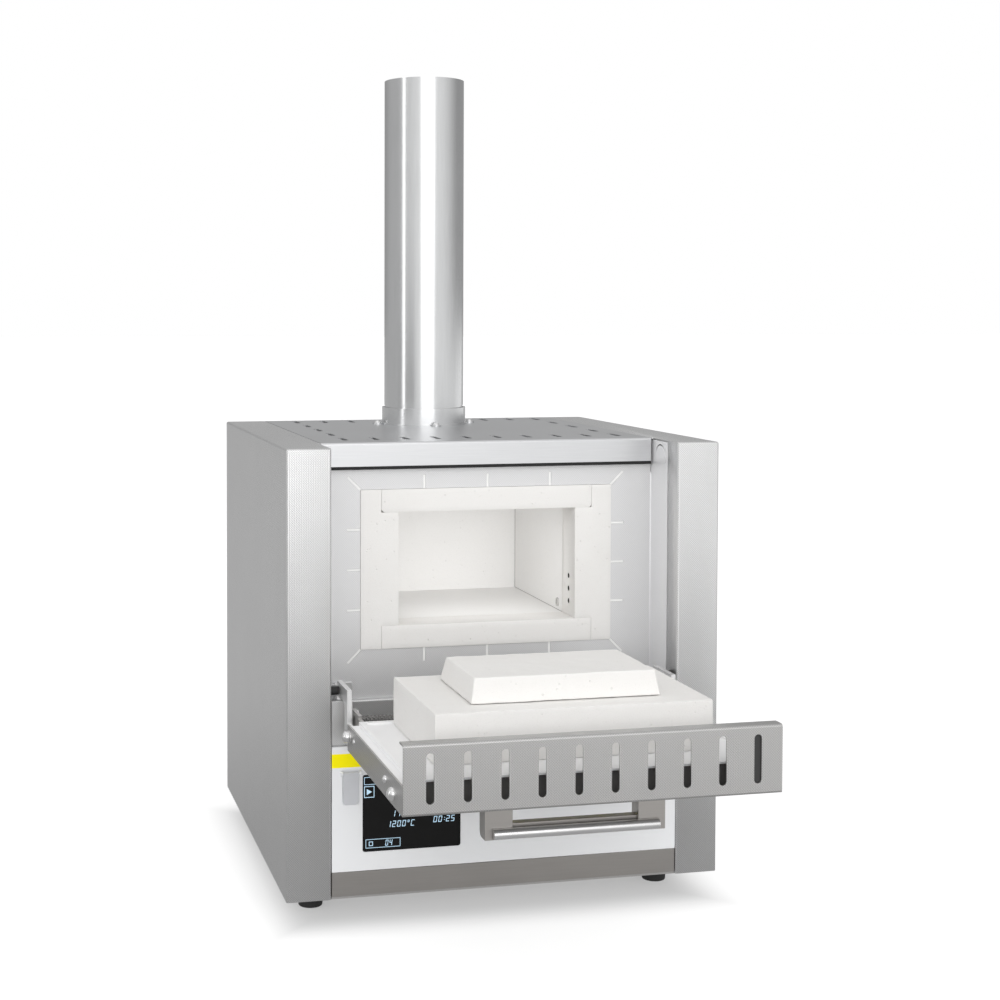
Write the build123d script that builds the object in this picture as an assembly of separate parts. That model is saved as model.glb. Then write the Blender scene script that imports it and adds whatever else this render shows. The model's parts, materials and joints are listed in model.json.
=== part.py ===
import os
from math import cos, hypot, pi, sin

from build123d import *

# Ashing furnace with a fold-down door and an exhaust stack, in millimetres.
# X runs to the right, Y from the front faces of the two posts to the rear, Z up from the bench.
# The door is drawn shut and then swung open about its hinge axis, which is its pose at rest.
# At the end everything is moved along Y, so that the origin lies under the middle of the whole.

# Overall sizes
WIDTH = 385.0
DEPTH = 350.0
HEIGHT = 405.0
STACK_TOP = 750.0
FOOT_HEIGHT = 25.0
SHEET = 1.5
BEND = 2.0

# Clearances
SHEET_GAP = 0.4
SEAT_GAP = 0.3
BRICK_GAP = 0.2
PIN_PLAY = 0.05
SCREW_PLAY = 0.2

# Casing
POST_WIDTH = 38.5
POST_RETURN = 22.0
TOP_FLANGE = 40.0
SIDE_LIP = 8.0
BASE_SHEET = 2.0
BASE_LIP = 14.0
HEADER_Y = 55.8
HEADER_HEIGHT = 21.0
RECESS_SEAM = 1.5
ARCH_WIDTH = 24.0
ARCH_DROP = 3.0
ARCH_SLIT = 1.0

# Vent slots of the top cover
VENT_COLUMNS = 10
VENT_ROWS = 5
VENT_SIDE_EDGE = 24.7
VENT_REAR_EDGE = 25.2
VENT_FIRST_Y = 96.0
VENT_OFFSET_X = 4.0
VENT_LENGTH = 28.0
VENT_WIDTH = 5.0
REAR_VENTS = 9
REAR_VENT_LENGTH = 34.0
REAR_VENT_LOW = 104.0
REAR_VENT_DROP = 47.0

# Muffle, collar bricks and front plate
MUFFLE_WIDTH = 163.2
MUFFLE_HEIGHT = 100.0
MUFFLE_DEPTH = 140.0
MUFFLE_DROP = 112.1
FRONT_PLATE_Y = 61.0
COLLAR_PROUD = 1.0
COLLAR_DEPTH = 34.0
COLLAR_SIDE = 34.1
COLLAR_TOP = 20.2
LINTEL_LAP = 15.4
LINTEL_ROUND = 3.5
BORE_R = 2.3
BORE_DEPTH = 14.0
BORE_BACK = 17.0
BORE_RISE = 13.1
BORE_PITCH = 11.5
SLIT_WIDTH = 2.2
SLIT_LENGTH = 12.0
SLIT_PITCH_X = 58.0
SLIT_PITCH_Z = 35.3
DIAGONAL_SLIT = 17.0
SLIT_FILL_DEPTH = 0.2
SLIT_FILL_GAP = 0.15
HEATER_PLATE = 13.0
COIL_R = 2.0
COIL_ROWS = 6
COIL_MARGIN = 16.0
COIL_SINK = 4.0
MUFFLE_TILE = 14.0
INSULATION_SIDE_GAP = 4.0
INSULATION_TOP_GAP = 9.0
INSULATION_BOTTOM = 189.0
INSULATION_REAR_GAP = 14.0

# Exhaust, air inlet and sensor
EXHAUST_PORT_R = 14.0
EXHAUST_PORT_BACK = 29.0
DUCT_HEIGHT = 24.0
DUCT_MARGIN = 5.0
STACK_BACK = 66.0
STACK_R = 40.0
STACK_WALL = 1.0
STACK_NECK = 0.6
STACK_NECK_RISE = 2.0
STACK_COLLAR_WALL = 2.2
STACK_COLLAR_FIT = 0.2
STACK_COLLAR_HEIGHT = 17.0
STACK_EAR_REACH = 5.8
STACK_SCREWS = 4
AIR_TUBE_R = 4.0
AIR_TUBE_BORE = 2.5
AIR_TUBE_BACK = 12.0
AIR_TUBE_RISE = 7.1
SENSOR_R = 3.0
SENSOR_DROP = 10.9
SENSOR_REACH = 22.0

# Control bay
FASCIA_BOTTOM = 48.0
FASCIA_TOP = 154.0
FASCIA_Y = 0.5
FASCIA_SHEET = 2.5
STRIPE_BOTTOM = 136.4
STRIPE_TOP = 148.1
STRIPE_THICKNESS = 0.6
DISPLAY_LEFT = -127.0
DISPLAY_RIGHT = -42.0
DISPLAY_BOTTOM = 64.0
DISPLAY_TOP = 129.0
DISPLAY_ROUND = 2.0
DIAL_X = 6.0
DIAL_Z = 108.0
DIAL_R = 13.0
DIAL_DEPTH = 12.0
DIAL_TRAVEL = 0.8
SPINDLE_R = 3.0
FLAP_X = -137.6
FLAP_WIDTH = 13.4
FLAP_TOP = 132.7
FLAP_BOTTOM = 105.0
FLAP_THICKNESS = 2.4
FLAP_PIN_R = 0.9
FLAP_EYE_R = 1.9
PORT_WIDTH = 8.0
PORT_HEIGHT = 16.0
SILL_Z = 150.0
SILL_STEP = 7.0
SILL_TOP = 180.0
COVER_RISE = 16.5
COVER_RETURN = 4.0
COVER_SIDE_GAP = 1.1
ROPE_HEIGHT = 11.0
ROPE_DEPTH = 7.0
ROPE_Z = 156.0
HEADER_SEAL = 2.5

# Door
HINGE_Y = 14.45
HINGE_Z = 175.45
HINGE_PIN_R = 4.0
DOOR_SIDE_GAP = 7.7
DOOR_FACE_Y = -2.3
DOOR_TOP_DROP = 0.2
DOOR_BOTTOM = 159.5
DOOR_NOTCH = 12.3
DOOR_SHOULDER = 217.4
DOOR_SIDE_DEPTH = 21.5
DOOR_TOP_DEPTH = 52.0
DOOR_TOP_LIP = 11.4
DOOR_SLOTS = 10
DOOR_SLOT_EDGE = 19.85
DOOR_SLOT_WIDTH = 6.0
DOOR_SLOT_LENGTH = 37.0
DOOR_SLOT_Y = 26.8
DOOR_SEAL_GAP = 0.3
LINER_INSET = 8.3
LINER_BOTTOM = 222.9
LINER_TOP_GAP = 11.9
LINER_Y = 20.5
LINER_RIM = 5.0
LINER_RIM_RISE = 1.5
LINER_FLANGE_DROP = 1.6
BRICK_WIDTH = 222.0
BRICK_HEIGHT = 130.0
BRICK_RAISE = 2.1
PLUG_DEPTH = 20.1
PLUG_SIDE_PLAY = 4.7
PLUG_PLAY = 4.0
PLUG_TAPER = 3.4
PLUG_SLOPE = 7.5
PLUG_RELIEF = 3.5
LEVER = 4.0
LEVER_GAP = 1.3
LEVER_FOOT_Y = 3.0
LEVER_FOOT_RISE = 56.0
LEVER_REACH = 30.55
LEVER_BAR = 12.5
LEVER_STRIP = 10.8
LEVER_FRONT = 19.3
LEVER_TAIL = 40.0
LUG_REACH = 6.5
BUFFER_R = 3.5
BUFFER_Y = 13.8
LEVER_BOLT_R = 2.0
LEVER_BOLT_UP = 50.45
LEVER_BOLT_Y = 11.0
CAP_NUT_R = 4.8
CAP_NUT_WASHER = 0.8
CAP_NUT_BODY = 1.8
CAP_NUT_DOME = 4.2
HINGE_ARM = 3.0
HINGE_ARM_R = 7.0
BRACKET = 3.0
BRACKET_R = 8.0
DOOR_SCREW_PLACES = ((52.2, 10.7, 2.2, 1.4), (161.4, 10.9, 3.0, 2.8), (183.9, 6.3, 5.2, 5.0))

# Handle
HANDLE_SPREAD = 144.0
POST_FOOT_WIDTH = 21.8
POST_FOOT_DEPTH = 14.0
POST_FOOT_REACH = 35.7
HANDLE_POST_DROP = 51.9
HANDLE_BAR_R = 4.0
HANDLE_BAR_LENGTH = 132.0
HANDLE_BACK_DEPTH = 7.7
HANDLE_BACK_LAP = 1.5
HANDLE_BACK_HEIGHT = 8.0

# Feet, gland and switch
FOOT_R = 12.0
FOOT_INSET = 32.5
FOOT_FRONT_Y = 63.0
FOOT_BACK = 50.0
FOOT_SCREW_R = 2.0
GLAND_X = -120.0
GLAND_Z = 58.0
GLAND_R = 8.0
GLAND_REACH = 12.0
SWITCH_X = 120.0
SWITCH_Z = 62.0
SWITCH_WIDTH = 19.0
SWITCH_HEIGHT = 28.0
SWITCH_WALL = 1.5
ROCKER_PIN_R = 1.5
ROCKER_TILT = 12.0

# Sizes that follow from those above
HALF = WIDTH / 2
RECESS = HALF - POST_WIDTH
MUFFLE_Z = HEIGHT - MUFFLE_DROP
SILL_Y = FRONT_PLATE_Y - SILL_STEP
INSULATION_OUT = RECESS - INSULATION_SIDE_GAP
INSULATION_TOP = HEIGHT - INSULATION_TOP_GAP
INSULATION_REAR = DEPTH - INSULATION_REAR_GAP
STACK_Y = DEPTH - STACK_BACK
STACK_COLLAR_R = STACK_R + STACK_COLLAR_WALL
STACK_EAR_R = STACK_COLLAR_R + STACK_EAR_REACH
DUCT_WIDTH = 2 * (STACK_R + DUCT_MARGIN)
FOOT_X = HALF - FOOT_INSET
FOOT_REAR_Y = DEPTH - FOOT_BACK
CASE_BOTTOM = FOOT_HEIGHT
TOP_INNER = HALF - TOP_FLANGE
VENT_PITCH_X = 2 * (TOP_INNER - VENT_SIDE_EDGE) / (VENT_COLUMNS - 1)
VENT_PITCH_Y = (DEPTH - VENT_REAR_EDGE - VENT_FIRST_Y) / (VENT_ROWS - 1)
REAR_VENT_HIGH = HEIGHT - REAR_VENT_DROP
COLLAR_FACE_Y = FRONT_PLATE_Y - COLLAR_PROUD
COLLAR_REAR_Y = COLLAR_FACE_Y + COLLAR_DEPTH
MUFFLE_X = MUFFLE_WIDTH / 2
MUFFLE_TOP = MUFFLE_Z + MUFFLE_HEIGHT / 2
MUFFLE_BOTTOM = MUFFLE_Z - MUFFLE_HEIGHT / 2
MUFFLE_REAR_Y = COLLAR_REAR_Y + MUFFLE_DEPTH
EXHAUST_PORT_Y = MUFFLE_REAR_Y - EXHAUST_PORT_BACK
AIR_TUBE_Y = COLLAR_REAR_Y + AIR_TUBE_BACK
AIR_TUBE_Z = MUFFLE_BOTTOM + AIR_TUBE_RISE
SENSOR_Z = MUFFLE_TOP - SENSOR_DROP
BORE_Y = COLLAR_FACE_Y + BORE_BACK
BORE_LOW_Z = MUFFLE_BOTTOM + BORE_RISE
COLLAR_X = MUFFLE_X + COLLAR_SIDE
COLLAR_TOP_Z = MUFFLE_TOP + COLLAR_TOP
COLLAR_BOTTOM_Z = MUFFLE_BOTTOM - COLLAR_TOP
LINTEL_X = MUFFLE_X + LINTEL_LAP
ROOF_TOP = MUFFLE_TOP + MUFFLE_TILE
FLOOR_UNDER = MUFFLE_BOTTOM - MUFFLE_TILE
HEATER_OUT = MUFFLE_X + HEATER_PLATE
DUCT_TOP = HEIGHT - SHEET - SEAT_GAP
DUCT_BOTTOM = DUCT_TOP - DUCT_HEIGHT
DOOR_HALF = RECESS - DOOR_SIDE_GAP
DOOR_TONGUE = 2 * (DOOR_HALF - DOOR_NOTCH)
DOOR_TOP = HEIGHT - DOOR_TOP_DROP
DOOR_SLOT_PITCH = 2 * (DOOR_HALF - DOOR_SLOT_EDGE) / (DOOR_SLOTS - 1)
LINER_WIDTH = 2 * (DOOR_HALF - LINER_INSET)
LINER_TOP = DOOR_TOP - LINER_TOP_GAP
HANDLE_POST_Z = DOOR_TOP - HANDLE_POST_DROP
BRICK_FACE_Y = COLLAR_FACE_Y - DOOR_SEAL_GAP
BRICK_BOTTOM = MUFFLE_Z + BRICK_RAISE - BRICK_HEIGHT / 2
SIDES = (-1, 1)
ON_BASE = (Align.CENTER, Align.CENTER, Align.MIN)


def block(x0, x1, y0, y1, z0, z1):
    """A block between two corners."""
    centre = Pos((x0 + x1) / 2, (y0 + y1) / 2, (z0 + z1) / 2)
    return centre * Box(abs(x1 - x0), abs(y1 - y0), abs(z1 - z0))


def rod_x(x0, x1, y, z, radius):
    """A round rod along X."""
    return Pos((x0 + x1) / 2, y, z) * Rot(0, 90, 0) * Cylinder(radius, abs(x1 - x0))


def rod_y(y0, y1, x, z, radius):
    """A round rod along Y."""
    return Pos(x, (y0 + y1) / 2, z) * Rot(90, 0, 0) * Cylinder(radius, abs(y1 - y0))


def rod_z(z0, z1, x, y, radius):
    """A round rod along Z."""
    return Pos(x, y, (z0 + z1) / 2) * Cylinder(radius, abs(z1 - z0))


def dome_x(x, y, z, radius, height, side):
    """A screw head whose dome stands out along X, to the side given."""
    ball_r = (radius**2 + height**2) / (2 * height)
    ball = Pos(x + side * (height - ball_r), y, z) * Sphere(ball_r)
    return ball & rod_x(x, x + side * height, y, z, radius)


def slot_along_y(x, y, z0, z1, length, width):
    """A round-ended cutter that is long along Y and runs through a level sheet."""
    outline = SlotOverall(length, width, rotation=90)
    return Pos(x, y, z0) * extrude(outline, z1 - z0)


def slot_along_z(x, y0, y1, z, length, width):
    """A round-ended cutter that is long along Z and runs through an upright sheet."""
    outline = Plane.XZ * SlotOverall(length, width, rotation=90)
    return Pos(x, y1, z) * extrude(outline, y1 - y0)


def round_edges(part, axis, radius, test):
    """Round the straight edges along an axis that pass a test on their middle point."""
    chosen = [edge for edge in part.edges().filter_by(axis) if test(edge.center())]
    return fillet(chosen, radius)


def both_sides(part):
    """A left-hand piece with its mirror image on the right, as two solids."""
    return Compound(children=[part, mirror(part, about=Plane.YZ)])


def swing_open(part):
    """Turn a piece of the shut door down to its open pose."""
    return Pos(0, HINGE_Y, HINGE_Z) * Rot(90, 0, 0) * Pos(0, -HINGE_Y, -HINGE_Z) * part


def side_panel():
    """Left side wall, folded into the front post and the top, bottom and rear flanges."""
    shell = block(-HALF, -RECESS, 0, DEPTH, CASE_BOTTOM, HEIGHT)
    bends = [
        edge for edge in shell.edges()
        if edge.center().Y < 0.1 and edge.center().Z > CASE_BOTTOM + 1
        or edge.center().X < -HALF + 0.1 and edge.center().Z > HEIGHT - 0.1
    ]
    shell = fillet(bends, BEND)
    low = CASE_BOTTOM - 1
    under = HEIGHT - SHEET
    rear = DEPTH - SHEET
    shell -= block(-HALF + SHEET, -RECESS - SHEET, SHEET, rear, low, under)
    shell -= block(-RECESS - 2 * SHEET, -RECESS + 1, POST_RETURN, DEPTH + 1, low, under)
    shell -= block(-HALF + BASE_LIP, -RECESS + 1, rear - 1, DEPTH + 1, low, under)
    flange = block(-RECESS - 1, -TOP_INNER, HEADER_Y, DEPTH, under, HEIGHT)
    lip = block(-TOP_INNER - SHEET, -TOP_INNER, lip_front(), rear - SHEET_GAP, HEIGHT - SIDE_LIP, HEIGHT)
    return shell + flange + lip


def lip_front():
    """Y where the lips behind the front plate begin."""
    return FRONT_PLATE_Y + SHEET + SHEET_GAP


def base_plate():
    """Floor of the casing, with its two upturned sides and the holes of the feet."""
    edge = HALF - SHEET - SHEET_GAP
    neck = RECESS - SHEET_GAP
    behind_post = POST_RETURN + SHEET_GAP
    rear = DEPTH - SHEET - SHEET_GAP
    top = CASE_BOTTOM + BASE_SHEET
    plate = block(-edge, edge, behind_post, rear, CASE_BOTTOM, top)
    plate += block(-neck, neck, SHEET + SHEET_GAP, behind_post, CASE_BOTTOM, top)
    for side in SIDES:
        inner = side * (edge - BASE_SHEET)
        plate += block(side * edge, inner, behind_post, rear, CASE_BOTTOM, CASE_BOTTOM + BASE_LIP)
    for x, y in foot_places():
        plate -= rod_z(CASE_BOTTOM - 1, CASE_BOTTOM + BASE_LIP, x, y, FOOT_SCREW_R + SCREW_PLAY)
    return plate


def foot_places():
    """Centres of the four feet."""
    return [(side * FOOT_X, y) for side in SIDES for y in (FOOT_FRONT_Y, FOOT_REAR_Y)]


def feet():
    """Four tapered rubber feet with a blind screw hole from above."""
    made = []
    for x, y in foot_places():
        foot = Pos(x, y, FOOT_HEIGHT / 2) * Cone(FOOT_R - 1.5, FOOT_R, FOOT_HEIGHT)
        hole = rod_z(FOOT_HEIGHT - 13, FOOT_HEIGHT + 1, x, y, FOOT_SCREW_R + SCREW_PLAY)
        made.append(foot - hole)
    return Compound(children=made)


def foot_screws():
    """Screws that hold the feet from inside the casing."""
    top = CASE_BOTTOM + BASE_SHEET + PIN_PLAY
    made = []
    for x, y in foot_places():
        head = rod_z(top, top + 2.2, x, y, 2 * FOOT_SCREW_R)
        made.append(head + rod_z(FOOT_HEIGHT - 12, top, x, y, FOOT_SCREW_R))
    return Compound(children=made)


def vent_places():
    """Centres of the vent slots, which go round the edge of the top cover and leave out the stack."""
    last_column = VENT_COLUMNS - 1
    last_row = VENT_ROWS - 1
    places = []
    for row in range(VENT_ROWS):
        for column in range(VENT_COLUMNS):
            if row in (0, last_row) or column in (0, last_column):
                x = VENT_OFFSET_X + (column - last_column / 2) * VENT_PITCH_X
                y = VENT_FIRST_Y + row * VENT_PITCH_Y
                nearest = max(0, abs(y - STACK_Y) - VENT_LENGTH / 2)
                if hypot(x, nearest) > STACK_EAR_R + VENT_WIDTH:
                    places.append((x, y))
    return places


def top_cover():
    """Top sheet between the side flanges, folded down at the front into the header."""
    edge = TOP_INNER - SHEET_GAP
    under = HEIGHT - SHEET
    lip = DEPTH - SHEET - SHEET_GAP
    cover = block(-edge, edge, HEADER_Y, DEPTH, under, HEIGHT)
    cover += block(-edge, edge, HEADER_Y, HEADER_Y + SHEET, HEIGHT - HEADER_HEIGHT, HEIGHT)
    cover += block(-edge, edge, lip - SHEET, lip, HEIGHT - SIDE_LIP, HEIGHT)
    cover = round_edges(cover, Axis.X, BEND, lambda p: p.Y < HEADER_Y + 0.1 and p.Z > HEIGHT - 0.1)
    for x, y in vent_places():
        cover -= slot_along_y(x, y, under - 1, HEIGHT + 1, VENT_LENGTH, VENT_WIDTH)
    cover -= rod_z(under - 1, HEIGHT + 1, 0, STACK_Y, STACK_R + SEAT_GAP)
    for x, y in stack_screw_places():
        cover -= rod_z(under - 1, HEIGHT + 1, x, y, 1.5 + SCREW_PLAY)
    return cover


def rear_panel():
    """Rear sheet with vent slots and the openings of the gland, the switch and the sensor head."""
    edge = HALF - BASE_LIP - SHEET_GAP
    bottom = CASE_BOTTOM + BASE_SHEET + SHEET_GAP
    top = HEIGHT - SHEET - SHEET_GAP
    front = DEPTH - SHEET
    panel = block(-edge, edge, front, DEPTH, bottom, top)
    for z in (REAR_VENT_LOW, REAR_VENT_HIGH):
        for i in range(REAR_VENTS):
            x = (i - (REAR_VENTS - 1) / 2) * VENT_PITCH_X
            panel -= slot_along_z(x, front - 1, DEPTH + 1, z, REAR_VENT_LENGTH, VENT_WIDTH)
    panel -= rod_y(front - 1, DEPTH + 1, GLAND_X, GLAND_Z, GLAND_R - 2 + SCREW_PLAY)
    half_width = SWITCH_WIDTH / 2 + SEAT_GAP
    half_height = SWITCH_HEIGHT / 2 + SEAT_GAP
    return panel - block(
        SWITCH_X - half_width, SWITCH_X + half_width, front - 1, DEPTH + 1,
        SWITCH_Z - half_height, SWITCH_Z + half_height,
    )


def recess_wall():
    """Left lining of the door recess, behind the return of the post, with an arched slit near the top."""
    front = POST_RETURN + RECESS_SEAM
    rear = FRONT_PLATE_Y + SHEET
    top = HEIGHT - SHEET - SEAT_GAP
    wall = block(-RECESS - SHEET, -RECESS, front, rear, SILL_Z, top)
    middle = (front + HEADER_Y) / 2
    arch = arch_block(middle, top - ARCH_DROP, ARCH_WIDTH / 2)
    return wall - (arch - arch_block(middle, top - ARCH_DROP - ARCH_SLIT, ARCH_WIDTH / 2 - ARCH_SLIT))


def arch_block(y, top, radius):
    """Cutter through the left recess wall with an arched top, down to the header's lower edge."""
    outer = -RECESS - 2 * SHEET
    inner = -RECESS + SHEET
    centre_z = top - radius
    round_top = rod_x(outer, inner, y, centre_z, radius)
    round_top &= block(outer, inner, y - radius, y + radius, centre_z, top)
    low = HEIGHT - HEADER_HEIGHT
    return round_top + block(outer, inner, y - radius, y + radius, low, centre_z)


def bracket_slots(y0, y1, z0, z1):
    """Cutters where the two hinge brackets pass through a sheet."""
    outer = bracket_x() + SEAT_GAP
    inner = outer - BRACKET - 2 * SEAT_GAP
    return [block(side * inner, side * outer, y0, y1, z0, z1) for side in SIDES]


def bracket_x():
    """Distance of the outer face of a hinge bracket from the middle."""
    return DOOR_HALF - SHEET - LEVER - LEVER_GAP


def sill():
    """Sheet below the door: level shelf, upstand and a narrow top step to the front plate."""
    edge = RECESS - SHEET_GAP
    front = FASCIA_Y + FASCIA_SHEET + SHEET_GAP
    shelf = block(-edge, edge, front, SILL_Y + SHEET, SILL_Z - SHEET, SILL_Z)
    upstand = block(-edge, edge, SILL_Y, SILL_Y + SHEET, SILL_Z - SHEET, SILL_TOP)
    step = block(-edge, edge, SILL_Y, FRONT_PLATE_Y, SILL_TOP - SHEET, SILL_TOP)
    sheet = shelf + upstand + step
    sheet = round_edges(
        sheet, Axis.X, SHEET, lambda p: p.Y < SILL_Y + 0.1 and p.Z > SILL_TOP - 0.1
    )
    low = HINGE_Z - BRACKET_R - SEAT_GAP
    for cutter in bracket_slots(SILL_Y - 1, FRONT_PLATE_Y + 1, low, SILL_TOP + 20):
        sheet -= cutter
    cover = hinge_cover()
    return sheet + cover + mirror(cover, about=Plane.YZ)


def hinge_cover():
    """Left cover on the shelf in front of the hinge bracket, bent back at its top."""
    outer = -RECESS + COVER_SIDE_GAP
    inner = -DOOR_TONGUE / 2 - COVER_SIDE_GAP
    rear = HINGE_Y - BRACKET_R - SHEET_GAP
    front = rear - SHEET
    top = HINGE_Z + COVER_RISE
    plate = block(outer, inner, front, rear, SILL_Z - SHEET, top)
    plate += block(outer, inner, front, front + COVER_RETURN, top - SHEET, top)
    return round_edges(plate, Axis.X, SHEET / 2, lambda p: p.Y < front + 0.1 and p.Z > top - 0.1)


def seal_rope():
    """Fibre rope along the upstand, rounded in front, and a thin strip of it under the header."""
    width = DOOR_TONGUE - 12
    rope = block(-width / 2, width / 2, SILL_Y - ROPE_DEPTH, SILL_Y, ROPE_Z, ROPE_Z + ROPE_HEIGHT)
    rope = round_edges(rope, Axis.X, 3, lambda p: p.Y < SILL_Y - ROPE_DEPTH + 0.1)
    edge = TOP_INNER - SEAT_GAP
    top = HEIGHT - HEADER_HEIGHT - SEAT_GAP
    strip = block(-edge, edge, HEADER_Y, FRONT_PLATE_Y - SEAT_GAP, top - HEADER_SEAL, top)
    return Compound(children=[rope, strip])


def front_plate():
    """Sheet round the collar bricks, with expansion slits out from the opening."""
    edge = RECESS - SHEET_GAP
    rear = FRONT_PLATE_Y + SHEET
    top = HEIGHT - SHEET - SEAT_GAP
    plate = block(-edge, edge, FRONT_PLATE_Y, rear, SILL_Z - SHEET, top)
    gap_x = COLLAR_X + BRICK_GAP
    plate -= block(
        -gap_x, gap_x, FRONT_PLATE_Y - 1, rear + 1,
        COLLAR_BOTTOM_Z - BRICK_GAP, COLLAR_TOP_Z + BRICK_GAP,
    )
    for slit in slits(FRONT_PLATE_Y - 1, rear + 1, 0):
        plate -= slit
    return plate


def slits(y0, y1, inset):
    """Blocks where the expansion slits are, each side set in by a clearance."""
    half = SLIT_WIDTH / 2 - inset
    gap_x = COLLAR_X + BRICK_GAP
    gap_top = COLLAR_TOP_Z + BRICK_GAP
    gap_bottom = COLLAR_BOTTOM_Z - BRICK_GAP
    start = 1 - 2 * inset
    reach = SLIT_LENGTH - inset
    made = []
    for i in (-1, 0, 1):
        x = i * SLIT_PITCH_X
        z = MUFFLE_Z + i * SLIT_PITCH_Z
        made.append(block(x - half, x + half, y0, y1, gap_top - start, gap_top + reach))
        made.append(block(x - half, x + half, y0, y1, gap_bottom - reach, gap_bottom + start))
        for side in SIDES:
            made.append(block(side * (gap_x - start), side * (gap_x + reach), y0, y1, z - half, z + half))
    for sx in SIDES:
        for z, sz in ((gap_top, 1), (gap_bottom, -1)):
            bar = Box(DIAGONAL_SLIT - 2 * inset, y1 - y0, 2 * half)
            away = (DIAGONAL_SLIT / 2 - 1) * cos(pi / 4)
            middle = Pos(sx * (gap_x + away), (y0 + y1) / 2, z + sz * away)
            made.append(middle * Rot(0, -45 * sx * sz, 0) * bar)
    return made


def front_board():
    """Insulating board close behind the front plate, with ribs that fill the plate's slits."""
    front = FRONT_PLATE_Y + SHEET
    rear = COLLAR_REAR_Y
    board = block(-INSULATION_OUT, INSULATION_OUT, front, rear, INSULATION_BOTTOM, INSULATION_TOP)
    for rib in slits(FRONT_PLATE_Y + SLIT_FILL_DEPTH, front + 1, SLIT_FILL_GAP):
        board += rib
    gap_x = COLLAR_X + BRICK_GAP
    low = COLLAR_BOTTOM_Z - BRICK_GAP
    return board - block(
        -gap_x, gap_x, FRONT_PLATE_Y - 1, rear + 1, low, COLLAR_TOP_Z + BRICK_GAP
    )


def collar_lintel():
    """Brick over the muffle mouth, with its two lower corners rounded."""
    brick = block(
        -LINTEL_X, LINTEL_X, COLLAR_FACE_Y, COLLAR_REAR_Y, MUFFLE_TOP, COLLAR_TOP_Z
    )
    return round_edges(brick, Axis.Y, LINTEL_ROUND, lambda p: p.Z < MUFFLE_TOP + 0.1)


def collar_sill_brick():
    """Brick under the muffle mouth."""
    return block(-LINTEL_X, LINTEL_X, COLLAR_FACE_Y, COLLAR_REAR_Y, COLLAR_BOTTOM_Z, MUFFLE_BOTTOM)


def collar_side():
    """Left brick of the collar, stepped at both ends to hold the lintel and the sill brick."""
    brick = block(
        -COLLAR_X, -MUFFLE_X, COLLAR_FACE_Y, COLLAR_REAR_Y, COLLAR_BOTTOM_Z, COLLAR_TOP_Z
    )
    step_x = LINTEL_X + BRICK_GAP
    over = (COLLAR_FACE_Y - 1, COLLAR_REAR_Y + 1)
    brick -= block(-step_x, 0, *over, MUFFLE_TOP, COLLAR_TOP_Z + 1)
    return brick - block(-step_x, 0, *over, COLLAR_BOTTOM_Z - 1, MUFFLE_BOTTOM)


def collar_bores():
    """Three small blind bores in the inner face of the right collar brick."""
    bores = [
        rod_x(MUFFLE_X - 1, MUFFLE_X + BORE_DEPTH, BORE_Y, BORE_LOW_Z + i * BORE_PITCH, BORE_R)
        for i in range(3)
    ]
    return Compound(children=bores)


def muffle_floor():
    """Floor tile of the muffle."""
    return block(-HEATER_OUT, HEATER_OUT, COLLAR_REAR_Y, muffle_back(), FLOOR_UNDER, MUFFLE_BOTTOM)


def muffle_back():
    """Y of the outer face of the rear tile."""
    return MUFFLE_REAR_Y + MUFFLE_TILE


def muffle_roof():
    """Roof tile with the exhaust port near the rear."""
    roof = block(-HEATER_OUT, HEATER_OUT, COLLAR_REAR_Y, muffle_back(), MUFFLE_TOP, ROOF_TOP)
    return roof - rod_z(MUFFLE_TOP - 1, ROOF_TOP + 1, 0, EXHAUST_PORT_Y, EXHAUST_PORT_R)


def muffle_rear():
    """Rear tile with the hole of the sensor."""
    tile = block(-MUFFLE_X, MUFFLE_X, MUFFLE_REAR_Y, muffle_back(), MUFFLE_BOTTOM, MUFFLE_TOP)
    return tile - rod_y(MUFFLE_REAR_Y - 1, muffle_back() + 1, 0, SENSOR_Z, SENSOR_R + SEAT_GAP)


def coil(radius, beyond):
    """Winding rod in the left plate: rows along Y joined by half rings, both ends to the rear."""
    x = -HEATER_OUT + COIL_SINK
    pitch = (MUFFLE_HEIGHT - 2 * COIL_MARGIN) / (COIL_ROWS - 1)
    near = COLLAR_REAR_Y + COIL_MARGIN
    far = MUFFLE_REAR_Y - COIL_MARGIN
    low = MUFFLE_BOTTOM + COIL_MARGIN
    winding = None
    for row in range(COIL_ROWS):
        z = low + row * pitch
        end = muffle_back() + beyond if row in (0, COIL_ROWS - 1) else far
        rod = rod_y(near, end, x, z, radius)
        winding = rod if winding is None else winding + rod
        if row < COIL_ROWS - 1:
            turn_y = far if row % 2 else near
            ring = Pos(x, turn_y, z + pitch / 2) * Rot(0, 90, 0) * Torus(pitch / 2, radius)
            side = turn_y + pitch if row % 2 else turn_y - pitch
            winding += ring & block(x - pitch, x + pitch, turn_y, side, z - pitch, z + 2 * pitch)
    return winding


def heater_plate():
    """Left wall of the muffle, with the channel of the heating wire inside it."""
    plate = block(-HEATER_OUT, -MUFFLE_X, COLLAR_REAR_Y, muffle_back(), MUFFLE_BOTTOM, MUFFLE_TOP)
    return plate - coil(COIL_R + BRICK_GAP, 1)


def heating_wire():
    """Heating wire of the left wall."""
    return coil(COIL_R, 0)


def insulation_side():
    """Fibre block between the left wall of the muffle and the casing."""
    return block(
        -INSULATION_OUT, -HEATER_OUT, COLLAR_REAR_Y, muffle_back(), INSULATION_BOTTOM, INSULATION_TOP
    )


def insulation_floor():
    """Fibre block under the muffle."""
    return block(
        -HEATER_OUT, HEATER_OUT, COLLAR_REAR_Y, muffle_back(), INSULATION_BOTTOM, FLOOR_UNDER
    )


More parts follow.
